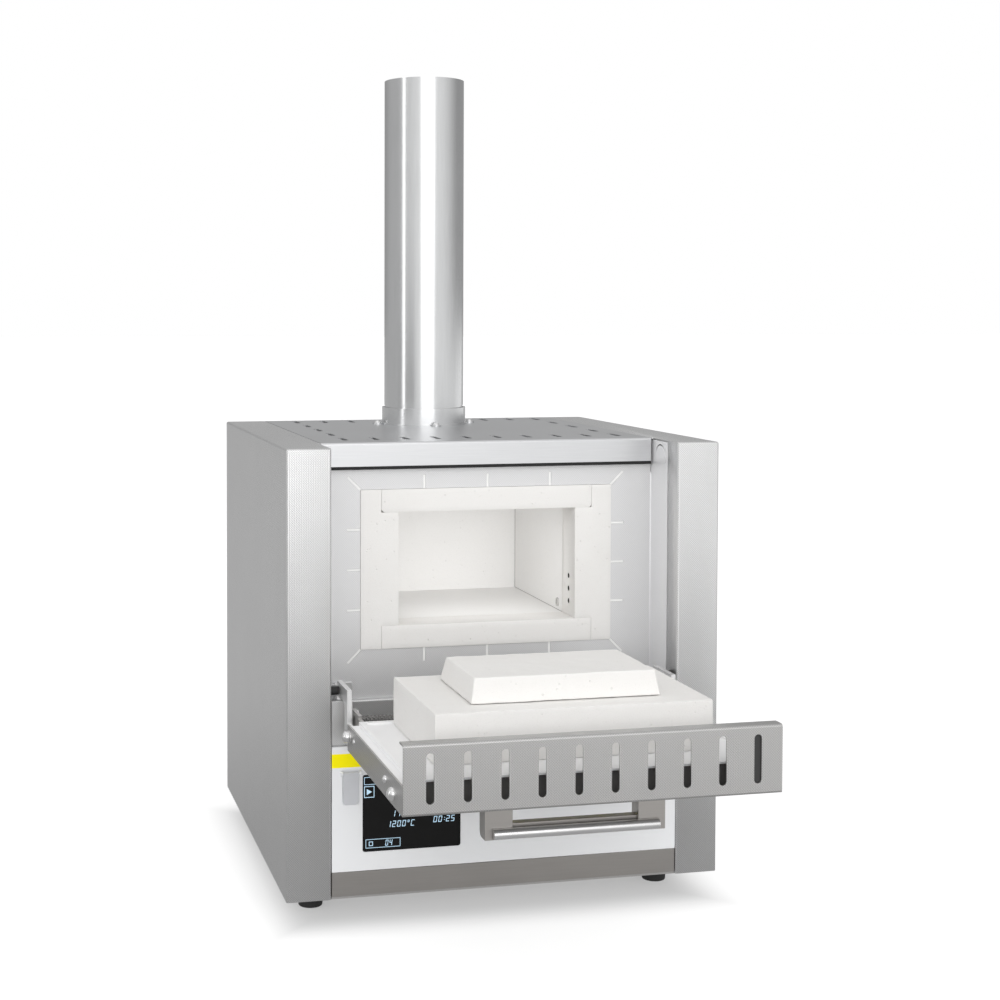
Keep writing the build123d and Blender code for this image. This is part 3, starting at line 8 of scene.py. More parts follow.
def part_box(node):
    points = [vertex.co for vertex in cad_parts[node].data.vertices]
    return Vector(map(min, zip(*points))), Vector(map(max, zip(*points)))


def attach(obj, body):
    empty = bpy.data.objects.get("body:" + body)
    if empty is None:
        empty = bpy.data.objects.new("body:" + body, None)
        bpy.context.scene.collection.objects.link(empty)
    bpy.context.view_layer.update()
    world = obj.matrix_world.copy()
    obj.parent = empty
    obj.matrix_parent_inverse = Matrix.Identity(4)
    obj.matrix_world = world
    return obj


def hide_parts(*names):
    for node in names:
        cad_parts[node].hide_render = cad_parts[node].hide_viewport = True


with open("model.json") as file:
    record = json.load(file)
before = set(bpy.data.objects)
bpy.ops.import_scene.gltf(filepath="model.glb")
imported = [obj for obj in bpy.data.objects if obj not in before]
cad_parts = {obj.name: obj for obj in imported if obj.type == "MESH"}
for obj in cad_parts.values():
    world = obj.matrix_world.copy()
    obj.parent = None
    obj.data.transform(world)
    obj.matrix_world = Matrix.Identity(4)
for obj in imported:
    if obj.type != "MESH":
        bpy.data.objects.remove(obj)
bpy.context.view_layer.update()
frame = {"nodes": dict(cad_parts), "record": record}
MM = 0.001
BODY_OF = {
    node: body
    for body, nodes in frame["record"]["behaviour"]["bodies"].items()
    for node in nodes
}

# Camera, solved from the straight edges of the casing, the door and the stack
CAMERA_PLACE = (-0.43342, -1.43000, 0.52009)
CAMERA_YAW = -12.272
CAMERA_PITCH = 2.060
CAMERA_ROLL = 0.017
CAMERA_LENS = 60.124
CAMERA_SENSOR = 36.0
CAMERA_SHIFT = (0.150, -0.130)


# Shader tools

class Value:
    """A socket of a material that takes part in Python arithmetic."""

    def __init__(self, shader, socket):
        self.shader = shader
        self.socket = socket

    def maths(self, operation, *others, clamp=False):
        """A Math node on this value and the others."""
        node = self.shader.tree.nodes.new("ShaderNodeMath")
        node.operation = operation
        node.use_clamp = clamp
        for slot, value in zip(node.inputs, (self, *others)):
            self.shader.put(slot, value)
        return Value(self.shader, node.outputs[0])

    def __add__(self, other):
        return self.maths("ADD", other)

    def __sub__(self, other):
        return self.maths("SUBTRACT", other)

    def __mul__(self, other):
        return self.maths("MULTIPLY", other)

    def __truediv__(self, other):
        return self.maths("DIVIDE", other)

    def __gt__(self, other):
        return self.maths("GREATER_THAN", other)

    def __mod__(self, other):
        return self.maths("FLOORED_MODULO", other)

    def __abs__(self):
        return self.maths("ABSOLUTE")

    def __rsub__(self, other):
        return (self * -1.0).maths("ADD", other)

    __radd__ = __add__
    __rmul__ = __mul__

    def sine(self):
        """Sine of an angle in radians."""
        return self.maths("SINE")

    def floor(self):
        """The whole number below."""
        return self.maths("FLOOR")

    def limited(self):
        """Kept between nought and one."""
        return self.maths("ADD", 0.0, clamp=True)

    def larger(self, other):
        """The larger of two values."""
        return self.maths("MAXIMUM", other)

    def step(self, low, high):
        """Nought below low, one above high, and smooth between them."""
        return self.shader.node(
            "MapRange", {"interpolation_type": "SMOOTHSTEP"},
            {"Value": self, "From Min": low, "From Max": high},
        )


class Shader:
    """The node tree of a material or of the world."""

    def __init__(self, owner):
        owner.use_nodes = True
        self.tree = owner.node_tree
        self.tree.nodes.clear()

    def put(self, socket, value):
        """Link a value to a socket, or write a constant on it."""
        if isinstance(value, Value):
            self.tree.links.new(value.socket, socket)
        elif hasattr(socket.default_value, "__len__") and len(value) == 3 and socket.type == "RGBA":
            socket.default_value = (*value, 1.0)
        else:
            socket.default_value = value

    def node(self, kind, settings=None, inputs=None, output=0):
        """A node of a kind, with its settings first and then the values or links of its sockets."""
        made = self.tree.nodes.new("ShaderNode" + kind)
        for name, value in (settings or {}).items():
            setattr(made, name, value)
        for name, value in (inputs or {}).items():
            self.put(made.inputs[name], value)
        return Value(self, made.outputs[output])

    def axes(self, output="Object"):
        """The three numbers of a texture coordinate."""
        whole = self.node("TexCoord", output=output)
        made = self.tree.nodes.new("ShaderNodeSeparateXYZ")
        self.put(made.inputs[0], whole)
        return [Value(self, socket) for socket in made.outputs]

    def flat(self):
        """Two coordinates in the plane of a face that lies square to an axis."""
        x, y, z = self.axes()
        across, _, up = self.axes("Normal")
        faces_x = abs(across) > 0.7
        faces_z = abs(up) > 0.7
        u = x + faces_x * (y - x)
        v = z + faces_z * (y - z)
        return u, v

    def noise(self, scale, detail=2.0, roughness=0.5, stretch=(1.0, 1.0, 1.0)):
        """Even noise from nought to one; scale counts its cells in a metre."""
        place = self.node("TexCoord", output="Object")
        moved = self.node("Mapping", None, {"Vector": place, "Scale": stretch})
        return self.node(
            "TexNoise", None,
            {"Vector": moved, "Scale": scale, "Detail": detail, "Roughness": roughness},
        )

    def cells(self, scale):
        """Distance from scattered points, scale of them in a metre."""
        place = self.node("TexCoord", output="Object")
        return self.node("TexVoronoi", {"feature": "F1"}, {"Vector": place, "Scale": scale}, "Distance")

    def mix(self, factor, first, second):
        """A colour between two others."""
        made = self.tree.nodes.new("ShaderNodeMix")
        made.data_type = "RGBA"
        self.put(made.inputs[0], factor)
        self.put(made.inputs[6], first)
        self.put(made.inputs[7], second)
        return Value(self, made.outputs[2])

    def bump(self, height, depth):
        """A relief whose height of one stands for a depth in metres."""
        return self.node("Bump", None, {"Height": height, "Distance": depth, "Strength": 1.0})

    def surface(self, shader):
        """Send a shader to the material's output."""
        out = self.tree.nodes.new("ShaderNodeOutputMaterial")
        self.put(out.inputs["Surface"], shader)

    def finish(self, **inputs):
        """End in a Principled surface with the sockets given."""
        names = {name.replace("_", " ").title(): value for name, value in inputs.items()}
        if "Specular Ior Level" in names:
            names["Specular IOR Level"] = names.pop("Specular Ior Level")
        self.surface(self.node("BsdfPrincipled", None, names))


def grey(colour, share):
    """A colour made lighter or darker."""
    return tuple(min(1.0, part * share) for part in colour)


def material(name):
    """A new material and its node tree."""
    made = bpy.data.materials.new(name)
    return made, Shader(made)


# Metals

def embossed_steel(name, colour, rough, depth, pitch=2.0 * MM, metal=1.0, contrast=0.27):
    """Stainless sheet rolled with short ridges that lean left and right in turn, their relief also painted
    into the colour as painted shade and highlight.
    """
    made, s = material(name)
    u, v = s.flat()
    a = (u + v) / pitch
    b = (u - v) / pitch
    turn = (a.floor() + b.floor()) % 2.0
    ridge_a = abs((a * math.pi).sine())
    ridge_b = abs((b * math.pi).sine())
    ridge = ridge_a + turn * (ridge_b - ridge_a)
    cloud = s.noise(18.0, 3.0)
    wipe = s.noise(7.0, 4.0, 0.6, (1.0, 1.0, 3.0))
    # The colour darkens and lightens with the ridges, painted shade and highlight of the relief; the cloud
    # adds real mottling.
    shade = (ridge * 0.85 + cloud * 0.15).limited()
    tone = s.mix(shade, grey(colour, 1.0 - contrast), grey(colour, 1.0 + contrast * 0.8))
    s.finish(
        base_color=tone, metallic=metal,
        roughness=rough - 0.05 + wipe * 0.10,
        normal=s.bump(ridge, depth),
    )
    return made


def brushed_steel(name, colour, rough, stretch, depth=0.010 * MM, metal=1.0, contrast=0.10):
    """Steel sheet with a fine brushed grain."""
    made, s = material(name)
    grain = s.noise(900.0, 2.0, 0.5, stretch)
    cloud = s.noise(14.0, 3.0)
    streak = (grain * 0.6 + cloud * 0.4).limited()
    tone = s.mix(streak, grey(colour, 1.0 - contrast), grey(colour, 1.0 + contrast * 0.9))
    s.finish(
        base_color=tone, metallic=metal,
        roughness=rough - 0.04 + cloud * 0.08 + grain * 0.04,
        normal=s.bump(grain, depth),
    )
    return made


def polished_steel(name, colour, rough):
    """Polished steel, a little duller in cloudy patches."""
    made, s = material(name)
    cloud = s.noise(60.0, 3.0)
    fine = s.noise(1500.0, 2.0)
    tone = s.mix(cloud, grey(colour, 0.93), grey(colour, 1.05))
    s.finish(
        base_color=tone, metallic=1.0, roughness=rough - 0.03 + cloud * 0.08,
        normal=s.bump(fine, 0.001 * MM),
    )
    return made


def oxidised_wire(name, colour):
    """Heating alloy with a dull oxide skin."""
    made, s = material(name)
    patch = s.noise(220.0, 4.0)
    tone = s.mix(patch, grey(colour, 0.6), grey(colour, 1.3))
    s.finish(
        base_color=tone, metallic=0.7, roughness=0.55 + patch * 0.2,
        normal=s.bump(patch, 0.03 * MM),
    )
    return made


# Ceramics and fibre

def brick(name, colour, warm, pore_depth=0.30 * MM):
    """Light insulating brick: fine grain, scattered pores painted darker as painted shade, faint press
    lines and stains.
    """
    made, s = material(name)
    grain = s.noise(1100.0, 4.0, 0.65)
    patch = s.noise(24.0, 4.0, 0.6)
    stain = s.noise(9.0, 5.0, 0.6).step(0.52, 0.74)
    press = s.noise(150.0, 3.0, 0.6, (0.05, 1.0, 1.0))
    pore = 1.0 - s.cells(230.0).step(0.06, 0.26)
    rare = s.noise(95.0, 2.0).step(0.52, 0.64)
    pits = pore * rare
    tone = s.mix((patch * 0.7 + press * 0.3).limited(), colour, warm)
    tone = s.mix(stain * 0.35, tone, grey(warm, 0.93))
    # The pores are painted darker: painted shade inside them.
    tone = s.mix((pits * 0.30).limited(), tone, grey(colour, 0.75))
    tone = s.mix((1.0 - grain.step(0.28, 0.48)) * 0.28, tone, grey(warm, 0.84))
    s.finish(
        base_color=tone, roughness=0.86 + grain * 0.10,
        normal=s.bump(grain * 0.45 + press * 0.2 - pits * 1.2, pore_depth),
    )
    return made


def fibre(name, colour):
    """Pressed fibre board with matted strands."""
    made, s = material(name)
    strand = s.noise(420.0, 5.0, 0.7, (1.0, 1.0, 3.0))
    patch = s.noise(20.0, 3.0)
    tone = s.mix((strand * 0.5 + patch * 0.5).limited(), grey(colour, 0.93), grey(colour, 1.04))
    s.finish(base_color=tone, roughness=0.92 + strand * 0.05, normal=s.bump(strand, 0.20 * MM))
    return made


def glazed_tube(name, colour):
    """Dense ceramic tube with a slight glaze."""
    made, s = material(name)
    patch = s.noise(90.0, 3.0)
    tone = s.mix(patch, grey(colour, 0.92), grey(colour, 1.05))
    s.finish(
        base_color=tone, roughness=0.38 + patch * 0.15, coat_weight=0.2,
        normal=s.bump(patch, 0.03 * MM),
    )
    return made


def braided_rope(name, colour):
    """Fibre rope whose strands cross in two directions, its colour darker in the grooves and lighter on the
    crowns of the weave as painted shade and highlight.
    """
    made, s = material(name)
    x, y, z = s.axes()
    around = y + z
    pitch = 3.6 * MM
    one = abs(((x + around) * (math.pi / pitch)).sine())
    two = abs(((x - around) * (math.pi / pitch)).sine())
    weave = one.larger(two)
    fuzz = s.noise(900.0, 4.0, 0.7)
    # Painted shade and highlight: the colour follows the weave's relief, and the fuzz varies it at random.
    tone = s.mix((weave * 0.4 + fuzz * 0.9 - 0.2).limited(), grey(colour, 0.35), grey(colour, 1.9))
    s.finish(
        base_color=tone, roughness=0.9 + fuzz * 0.06,
        normal=s.bump(weave + fuzz * 0.4, 0.4 * MM),
    )
    return made


# Paints, plastics and glass

def powder_coat(name, colour):
    """Pale powder coat with a faint orange-peel surface."""
    made, s = material(name)
    peel = s.noise(480.0, 2.0, 0.5)
    patch = s.noise(9.0, 3.0)
    tone = s.mix(patch, grey(colour, 0.97), grey(colour, 1.02))
    s.finish(
        base_color=tone, roughness=0.40 + patch * 0.08, coat_weight=0.08, coat_roughness=0.3,
        normal=s.bump(peel, 0.012 * MM),
    )
    return made


def film_with_painted_glow(name, colour):
    """Coloured film with a slight sheen and faint unevenness, and a faint glow that is painted light."""
    made, s = material(name)
    patch = s.noise(60.0, 2.0)
    tone = s.mix(patch, grey(colour, 0.96), grey(colour, 1.03))
    # The emission is painted light that lifts the film where it lies in shade.
    s.finish(
        base_color=tone, roughness=0.58 + patch * 0.08, specular_ior_level=0.18,
        emission_color=tone, emission_strength=0.12, normal=s.bump(patch, 0.01 * MM),
    )
    return made


def moulded_plastic(name, colour, rough, grain_depth=0.02 * MM):
    """Moulded plastic with a fine spark-eroded grain."""
    made, s = material(name)
    grain = s.noise(1700.0, 3.0)
    patch = s.noise(45.0, 3.0)
    tone = s.mix(patch, grey(colour, 0.90), grey(colour, 1.10))
    s.finish(
        base_color=tone, roughness=rough + patch * 0.08, normal=s.bump(grain, grain_depth),
    )
    return made


def display_glass(name, colour):
    """Dark glass over the display, with faint smears."""
    made, s = material(name)
    smear = s.noise(22.0, 4.0, 0.6, (1.0, 1.0, 2.2))
    tone = s.mix(smear, grey(colour, 0.85), grey(colour, 1.25))
    s.finish(
        base_color=tone, roughness=0.10 + smear.step(0.45, 0.75) * 0.10,
        specular_ior_level=0.22,
        normal=s.bump(smear, 0.003 * MM),
    )
    return made


def lit_sign(name, colour):
    """Lit segments of the display."""
    made, s = material(name)
    patch = s.noise(300.0, 2.0)
    tone = s.mix(patch, grey(colour, 0.85), colour)
    s.finish(
        base_color=grey(colour, 0.25), roughness=0.4, emission_color=tone, emission_strength=0.85,
        normal=s.bump(patch, 0.003 * MM),
    )
    return made


def circuit_board(name, colour):
    """Coated board with faint tracks."""
    made, s = material(name)
    x, y, _ = s.axes()
    track = (abs((x * 900.0).sine()) + abs((y * 760.0).sine())).step(1.2, 1.5)
    patch = s.noise(160.0, 3.0)
    tone = s.mix((track * 0.5 + patch * 0.3).limited(), colour, (0.20, 0.42, 0.22))
    s.finish(base_color=tone, roughness=0.38 + patch * 0.2, normal=s.bump(track, 0.04 * MM))
    return made


def make_materials():
    """One material for each slot of the record."""
    along_z = (1.0, 1.0, 0.03)
    along_x = (0.03, 1.0, 1.0)
    return {
        "embossed_steel": embossed_steel("embossed_steel", (0.70, 0.70, 0.70), 0.30, 0.12 * MM),
        "cover_steel": brushed_steel("cover_steel", (0.655, 0.66, 0.67), 0.30, along_x),
        "inner_steel": brushed_steel("inner_steel", (0.92, 0.92, 0.925), 0.17, along_x, 0.004 * MM),
        "plain_steel": brushed_steel("plain_steel", (0.58, 0.57, 0.56), 0.38, along_z),
        "polished_steel": polished_steel("polished_steel", (0.80, 0.80, 0.80), 0.24),
        "stack_steel": brushed_steel("stack_steel", (0.67, 0.675, 0.68), 0.17, along_z, 0.005 * MM),
        "rail_steel": brushed_steel("rail_steel", (0.46, 0.44, 0.42), 0.34, along_x),
        "handle_steel": brushed_steel("handle_steel", (0.46, 0.44, 0.42), 0.34, along_x),
        "fascia_white": powder_coat("fascia_white", (0.93, 0.94, 0.955)),
        "accent_yellow": film_with_painted_glow("accent_yellow", (1.0, 0.87, 0.0)),
        "display_black": display_glass("display_black", (0.008, 0.008, 0.008)),
        "black_plastic": moulded_plastic("black_plastic", (0.03, 0.03, 0.03), 0.42),
        "grey_plastic": moulded_plastic("grey_plastic", (0.64, 0.65, 0.68), 0.34),
        "brick_white": brick("brick_white", (0.87, 0.86, 0.845), (0.825, 0.81, 0.785)),
        "muffle_white": brick("muffle_white", (0.90, 0.895, 0.885), (0.875, 0.865, 0.85), 0.15 * MM),
        "fibre_white": fibre("fibre_white", (0.88, 0.87, 0.84)),
        "rope_grey": braided_rope("rope_grey", (0.21, 0.205, 0.20)),
        "rubber_black": moulded_plastic("rubber_black", (0.025, 0.025, 0.025), 0.62, 0.05 * MM),
        "wire_dark": oxidised_wire("wire_dark", (0.16, 0.14, 0.12)),
        "board_green": circuit_board("board_green", (0.03, 0.14, 0.06)),
        "sensor_ceramic": glazed_tube("sensor_ceramic", (0.62, 0.61, 0.59)),
    }


def make_finishes():
    """Finishes of single pieces that look different from the rest of their slot."""
    along_z = (1.0, 1.0, 0.03)
    along_x = (0.03, 1.0, 1.0)
    return {
        # Near-black board seen through the door's slots: painted shade of the cavity behind them.
        "painted_shade_board": fibre("painted_shade_board", (0.15, 0.147, 0.142)),
        # Whiter than the fibre it stands for: painted light in the slits of the front plate, which lie in
        # shade.
        "painted_light_board": fibre("painted_light_board", (0.95, 0.95, 0.94)),
        "plate_steel": embossed_steel(
            "plate_steel", (0.70, 0.70, 0.705), 0.34, 0.04 * MM, metal=0.30, contrast=0.10
        ),
        "liner_steel": brushed_steel(
            "liner_steel", (0.96, 0.96, 0.965), 0.30, along_x, 0.001 * MM, metal=0.12, contrast=0.015
        ),
        "recess_steel": embossed_steel(
            "recess_steel", (0.90, 0.90, 0.91), 0.42, 0.02 * MM, metal=0.45, contrast=0.06
        ),
        "tray_steel": embossed_steel("tray_steel", (0.50, 0.495, 0.49), 0.34, 0.10 * MM),
        "sill_steel": embossed_steel(
            "sill_steel", (0.66, 0.66, 0.66), 0.36, 0.03 * MM, metal=0.75, contrast=0.10
        ),
        "lever_steel": brushed_steel(
            "lever_steel", (0.75, 0.75, 0.75), 0.30, along_z, 0.006 * MM, metal=0.6
        ),
        # Near black for the strip under the header: painted shade of the gap there.
        "painted_header_shade": fibre("painted_header_shade", (0.02, 0.02, 0.02)),
        # Near black inside the bores of the right brick: painted shade.
        "painted_bore_shade": fibre("painted_bore_shade", (0.035, 0.033, 0.03)),
        # Grey for the lines in the chamber's corners: painted shade.
        "painted_corner_shade": fibre("painted_corner_shade", (0.50, 0.49, 0.475)),
        "display_light": lit_sign("display_light", (0.55, 0.78, 0.95)),
    }


MATERIALS = {**make_materials(), **make_finishes()}
SLOT_OF = {part["node"]: part["material_slot"] for part in frame["record"]["subparts"]}
FINISH_OF = {
    **SLOT_OF, "door_insulation": "painted_shade_board", "front_plate": "plate_steel",
    "door_liner": "liner_steel", "recess_walls": "recess_steel", "sill_sheet": "sill_steel",
    "front_board": "painted_light_board", "door_levers": "lever_steel", "door_tray": "tray_steel",
    "hinge_brackets": "lever_steel",
}


def dress_nodes():
    """Give every carried-over node its finish."""
    for name, node in frame["nodes"].items():
        node.data.materials.clear()
        node.data.materials.append(MATERIALS[FINISH_OF[name]])


# Modelling tools

EDGE_ANGLE = math.radians(35.0)


def only(piece):
    """Select one object and nothing else."""
    bpy.ops.object.select_all(action="DESELECT")
    piece.select_set(True)
    bpy.context.view_layer.objects.active = piece


def start():
    """Deselect everything before a primitive is added."""
    if bpy.context.object and bpy.context.object.mode != "OBJECT":
        bpy.ops.object.mode_set(mode="OBJECT")
    bpy.ops.object.select_all(action="DESELECT")


def pick(piece, wanted):
    """Go into edit mode with only the wanted vertices selected."""
    only(piece)
    bpy.ops.object.mode_set(mode="EDIT")
    bpy.ops.mesh.select_mode(type="VERT")
    bpy.ops.mesh.select_all(action="DESELECT")
    bpy.ops.object.mode_set(mode="OBJECT")
    for vertex in piece.data.vertices:
        vertex.select = wanted(vertex.co)
    bpy.ops.object.mode_set(mode="EDIT")


def settle(piece, name, slot, body, finish=None):
    """Name a finished piece, put its place into its mesh and hang it on its body."""
    only(piece)
    bpy.ops.object.transform_apply(location=True, rotation=True, scale=True)
    piece.name = name
    piece.data.name = name
    piece.data.materials.clear()
    piece.data.materials.append(MATERIALS[finish or slot])
    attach(piece, body)
    return piece


def add_modifier(piece, kind, **settings):
    """Add a modifier, set it and apply it."""
    only(piece)
    added = piece.modifiers.new(kind.lower(), kind)
    for name, value in settings.items():
        setattr(added, name, value)
    bpy.ops.object.modifier_apply(modifier=added.name)


def joined(pieces):
    """Several objects as one."""
    start()
    for piece in pieces:
        piece.select_set(True)
    bpy.context.view_layer.objects.active = pieces[0]
    if len(pieces) > 1:
        bpy.ops.object.join()
    return pieces[0]


def whole_copy(node):
    """A copy of a CAD piece with its loose triangles joined into whole flat faces."""
    source = frame["nodes"][node]
    piece = bpy.data.objects.new(node + "_shape", source.data.copy())
    bpy.context.scene.collection.objects.link(piece)
    only(piece)
    bpy.ops.object.mode_set(mode="EDIT")
    bpy.ops.mesh.select_all(action="SELECT")
    bpy.ops.mesh.remove_doubles(threshold=0.005 * MM)
    bpy.ops.mesh.dissolve_limited(angle_limit=math.radians(0.5))
    bpy.ops.mesh.normals_make_consistent(inside=False)
    bpy.ops.object.mode_set(mode="OBJECT")
    return piece


def softened(node, width, segments=2, even=True):
    """Stand in for a CAD piece by a copy with rounded edges, its broad faces shaded evenly if asked."""
    piece = whole_copy(node)
    add_modifier(
        piece, "BEVEL", width=width, segments=segments, limit_method="ANGLE",
        angle_limit=EDGE_ANGLE, harden_normals=True,
    )
    bpy.ops.object.shade_smooth_by_angle(angle=EDGE_ANGLE)
    if even:
        add_modifier(piece, "WEIGHTED_NORMAL", mode="FACE_AREA", weight=100, keep_sharp=True)
    settle(piece, node + "_piece", SLOT_OF[node], BODY_OF[node], FINISH_OF[node])
    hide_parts(node)
    return piece


def cut_across(piece, axis, pitch):
    """Divide a mesh by level planes along one axis."""
    places = [vertex.co[axis] for vertex in piece.data.vertices]
    low = min(places)
    high = max(places)
    count = max(1, round((high - low) / pitch))
    normal = [0.0, 0.0, 0.0]
    normal[axis] = 1.0
    only(piece)
    bpy.ops.object.mode_set(mode="EDIT")
    for i in range(1, count):
        point = [0.0, 0.0, 0.0]
        point[axis] = low + (high - low) * i / count
        bpy.ops.mesh.select_all(action="SELECT")
        bpy.ops.mesh.bisect(plane_co=point, plane_no=normal)
    bpy.ops.object.mode_set(mode="OBJECT")


def cast_brick(node, edge, pitch, unevenness, patch):
    """Stand in for a brick by a copy with worn edges and faces that are uneven in patches of a size."""
    piece = whole_copy(node)
    add_modifier(piece, "BEVEL", width=edge, segments=2, limit_method="ANGLE", angle_limit=EDGE_ANGLE)
    for axis in range(3):
        cut_across(piece, axis, pitch)
    cloud = bpy.data.textures.new(node + "_unevenness", "CLOUDS")
    cloud.noise_scale = patch
    cloud.noise_depth = 3
    add_modifier(
        piece, "DISPLACE", texture=cloud, texture_coords="LOCAL", strength=unevenness, mid_level=1.0
    )
    bpy.ops.object.shade_smooth_by_angle(angle=math.radians(40.0))
    settle(piece, node + "_piece", SLOT_OF[node], BODY_OF[node])
    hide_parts(node)
    return piece


def make_bricks():
    """The bricks of the door and round the mouth, with their worn edges."""
    cast_brick("door_plug", 1.2 * MM, 2.4 * MM, 0.9 * MM, 10.0 * MM)
    cast_brick("door_brick", 0.9 * MM, 3.2 * MM, 0.7 * MM, 13.0 * MM)
    for node, patch in (("collar_lintel", 16.0), ("collar_sill", 18.0), ("collar_sides", 20.0)):
        cast_brick(node, 0.12 * MM, 5.0 * MM, 0.08 * MM, patch * MM)


def make_softened():
    """Pieces whose edges catch the light."""
    softened("handle_frame", 0.8 * MM, segments=3)
    softened("door_levers", 0.5 * MM)
    softened("port_flap", 0.5 * MM)
    softened("feet", 0.8 * MM)
    softened("dial_knob", 0.3 * MM)
    softened("recess_walls", 0.45 * MM)
    softened("side_panel_left", 0.5 * MM, even=False)
    softened("side_panel_right", 0.5 * MM, even=False)
    softened("bottom_rail", 0.4 * MM)
    softened("hinge_brackets", 0.4 * MM)


# Seal rope: its strands and turns; a strand's radius and offset are shares of the rope's radius
STRAND_COUNT = 3
STRAND_SIDES = 9
STRAND_STEPS = 10
STRAND_RADIUS = 0.62
STRAND_OFFSET = 0.38
ROPE_TURNS = 26


def strand(axis_y, axis_z, reach, length, first):
    """One strand that winds round a line along X, from a first angle on."""
    start()
    bpy.ops.mesh.primitive_circle_add(
        vertices=STRAND_SIDES, radius=reach * STRAND_RADIUS, location=(-length / 2, axis_y, axis_z),
        rotation=(0.0, math.radians(90.0), 0.0),
    )
    made = bpy.context.object
    bpy.ops.object.transform_apply(location=False, rotation=True, scale=True)
    bpy.ops.object.mode_set(mode="EDIT")
    bpy.ops.mesh.select_all(action="SELECT")
    turned = Matrix.Rotation(first, 3, "X") @ Vector((0.0, reach * STRAND_OFFSET, 0.0))
    bpy.ops.transform.translate(value=turned)
    bpy.ops.object.mode_set(mode="OBJECT")
    add_modifier(
        made, "SCREW", axis="X", screw_offset=length, angle=2.0 * math.pi * ROPE_TURNS,
        steps=ROPE_TURNS * STRAND_STEPS, render_steps=ROPE_TURNS * STRAND_STEPS, use_smooth_shade=True,
    )
    only(made)
    bpy.ops.object.mode_set(mode="EDIT")
    bpy.ops.mesh.select_all(action="SELECT")
    bpy.ops.mesh.fill_holes(sides=0)
    bpy.ops.mesh.select_all(action="SELECT")
    bpy.ops.mesh.normals_make_consistent(inside=False)
    bpy.ops.object.mode_set(mode="OBJECT")
    return made


def make_seal():
    """Two twisted fibre ropes along the upstand, one over the other, and the strip under the header,
    coloured near black as painted shade.
    """
    strip = whole_copy("seal_rope")
    low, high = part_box("seal_rope")
    middle = (low.z + high.z) / 2
    rope = [v.co.copy() for v in strip.data.vertices if v.co.z < middle]
    pick(strip, lambda place: place.z < middle)
    bpy.ops.mesh.delete(type="VERT")
    bpy.ops.object.mode_set(mode="OBJECT")
    near = min(point.y for point in rope)
    far = max(point.y for point in rope)
    under = min(point.z for point in rope)
    over = max(point.z for point in rope)
    reach = (far - near) / 2
    length = max(point.x for point in rope) * 2
    between = 360.0 / STRAND_COUNT
    strands = [
        strand((near + far) / 2, z, reach, length, math.radians(between * i + turn))
        for z, turn in ((under + reach, 0.0), (over - reach, between / 2))
        for i in range(STRAND_COUNT)
    ]
    # The strip under the header is near black: painted shade.
    settle(strip, "header_shade_strip", "rope_grey", "furnace", "painted_header_shade")
    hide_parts("seal_rope")
    seal = joined(strands)
    settle(seal, "seal_rope_piece", "rope_grey", "furnace")
    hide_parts("seal_rope")


# Right side brick of the mouth: from its outer face to the chamber's wall, and its three bores
MOUTH_WALL = 34.1 * MM
BORE_COUNT = 3
BORE_R = 2.15 * MM
BORE_BACK = 17.0 * MM
BORE_LOW = 33.3 * MM
BORE_PITCH = 11.5 * MM
SLEEVE_LENGTH = 8.0 * MM
SLEEVE_SUNK = 0.2 * MM
SLEEVE_WALL = 0.45 * MM
SLEEVE_DEPTH = 6.0 * MM


def copied(piece, move):
    """A moved copy of a piece, with its own mesh."""
    twin = piece.copy()
    twin.data = piece.data.copy()
    bpy.context.scene.collection.objects.link(twin)
    twin.location = move
    return twin


def make_bore_shade_sleeves():
    """Near-black sleeves in the three small bores of the right brick: painted shade inside the bores."""
    low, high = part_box("collar_sides")
    wall = high.x - MOUTH_WALL
    start()
    bpy.ops.mesh.primitive_cylinder_add(
        vertices=24, radius=BORE_R, depth=SLEEVE_LENGTH,
        location=(wall + SLEEVE_SUNK + SLEEVE_LENGTH / 2, low.y + BORE_BACK, low.z + BORE_LOW),
        rotation=(0.0, math.radians(-90.0), 0.0),
    )
    sleeve = bpy.context.object
    bpy.ops.object.transform_apply(location=True, rotation=True, scale=True)
    near = wall + SLEEVE_SUNK * 1.5
    pick(sleeve, lambda place: place.x < near)
    bpy.ops.mesh.inset(thickness=SLEEVE_WALL)
    bpy.ops.transform.translate(value=(SLEEVE_DEPTH, 0.0, 0.0))
    bpy.ops.object.mode_set(mode="OBJECT")
    sleeves = [sleeve] + [copied(sleeve, (0.0, 0.0, BORE_PITCH * i)) for i in range(1, BORE_COUNT)]
    for i, made in enumerate(sleeves):
        settle(made, "bore_shade_sleeve_%d" % i, "wire_dark", "furnace", "painted_bore_shade")


def parts_of(node):
    """The boxes of the separate solids of a CAD piece."""
    copy = whole_copy(node)
    only(copy)
    bpy.ops.object.mode_set(mode="EDIT")
    bpy.ops.mesh.select_all(action="SELECT")
    bpy.ops.mesh.separate(type="LOOSE")
    bpy.ops.object.mode_set(mode="OBJECT")
    boxes = []
    for piece in list(bpy.context.selected_objects):
        points = [vertex.co.copy() for vertex in piece.data.vertices]
        low = Vector([min(point[axis] for point in points) for axis in range(3)])
        high = Vector([max(point[axis] for point in points) for axis in range(3)])
        boxes.append((low, high))
        bpy.data.objects.remove(piece)
    return boxes


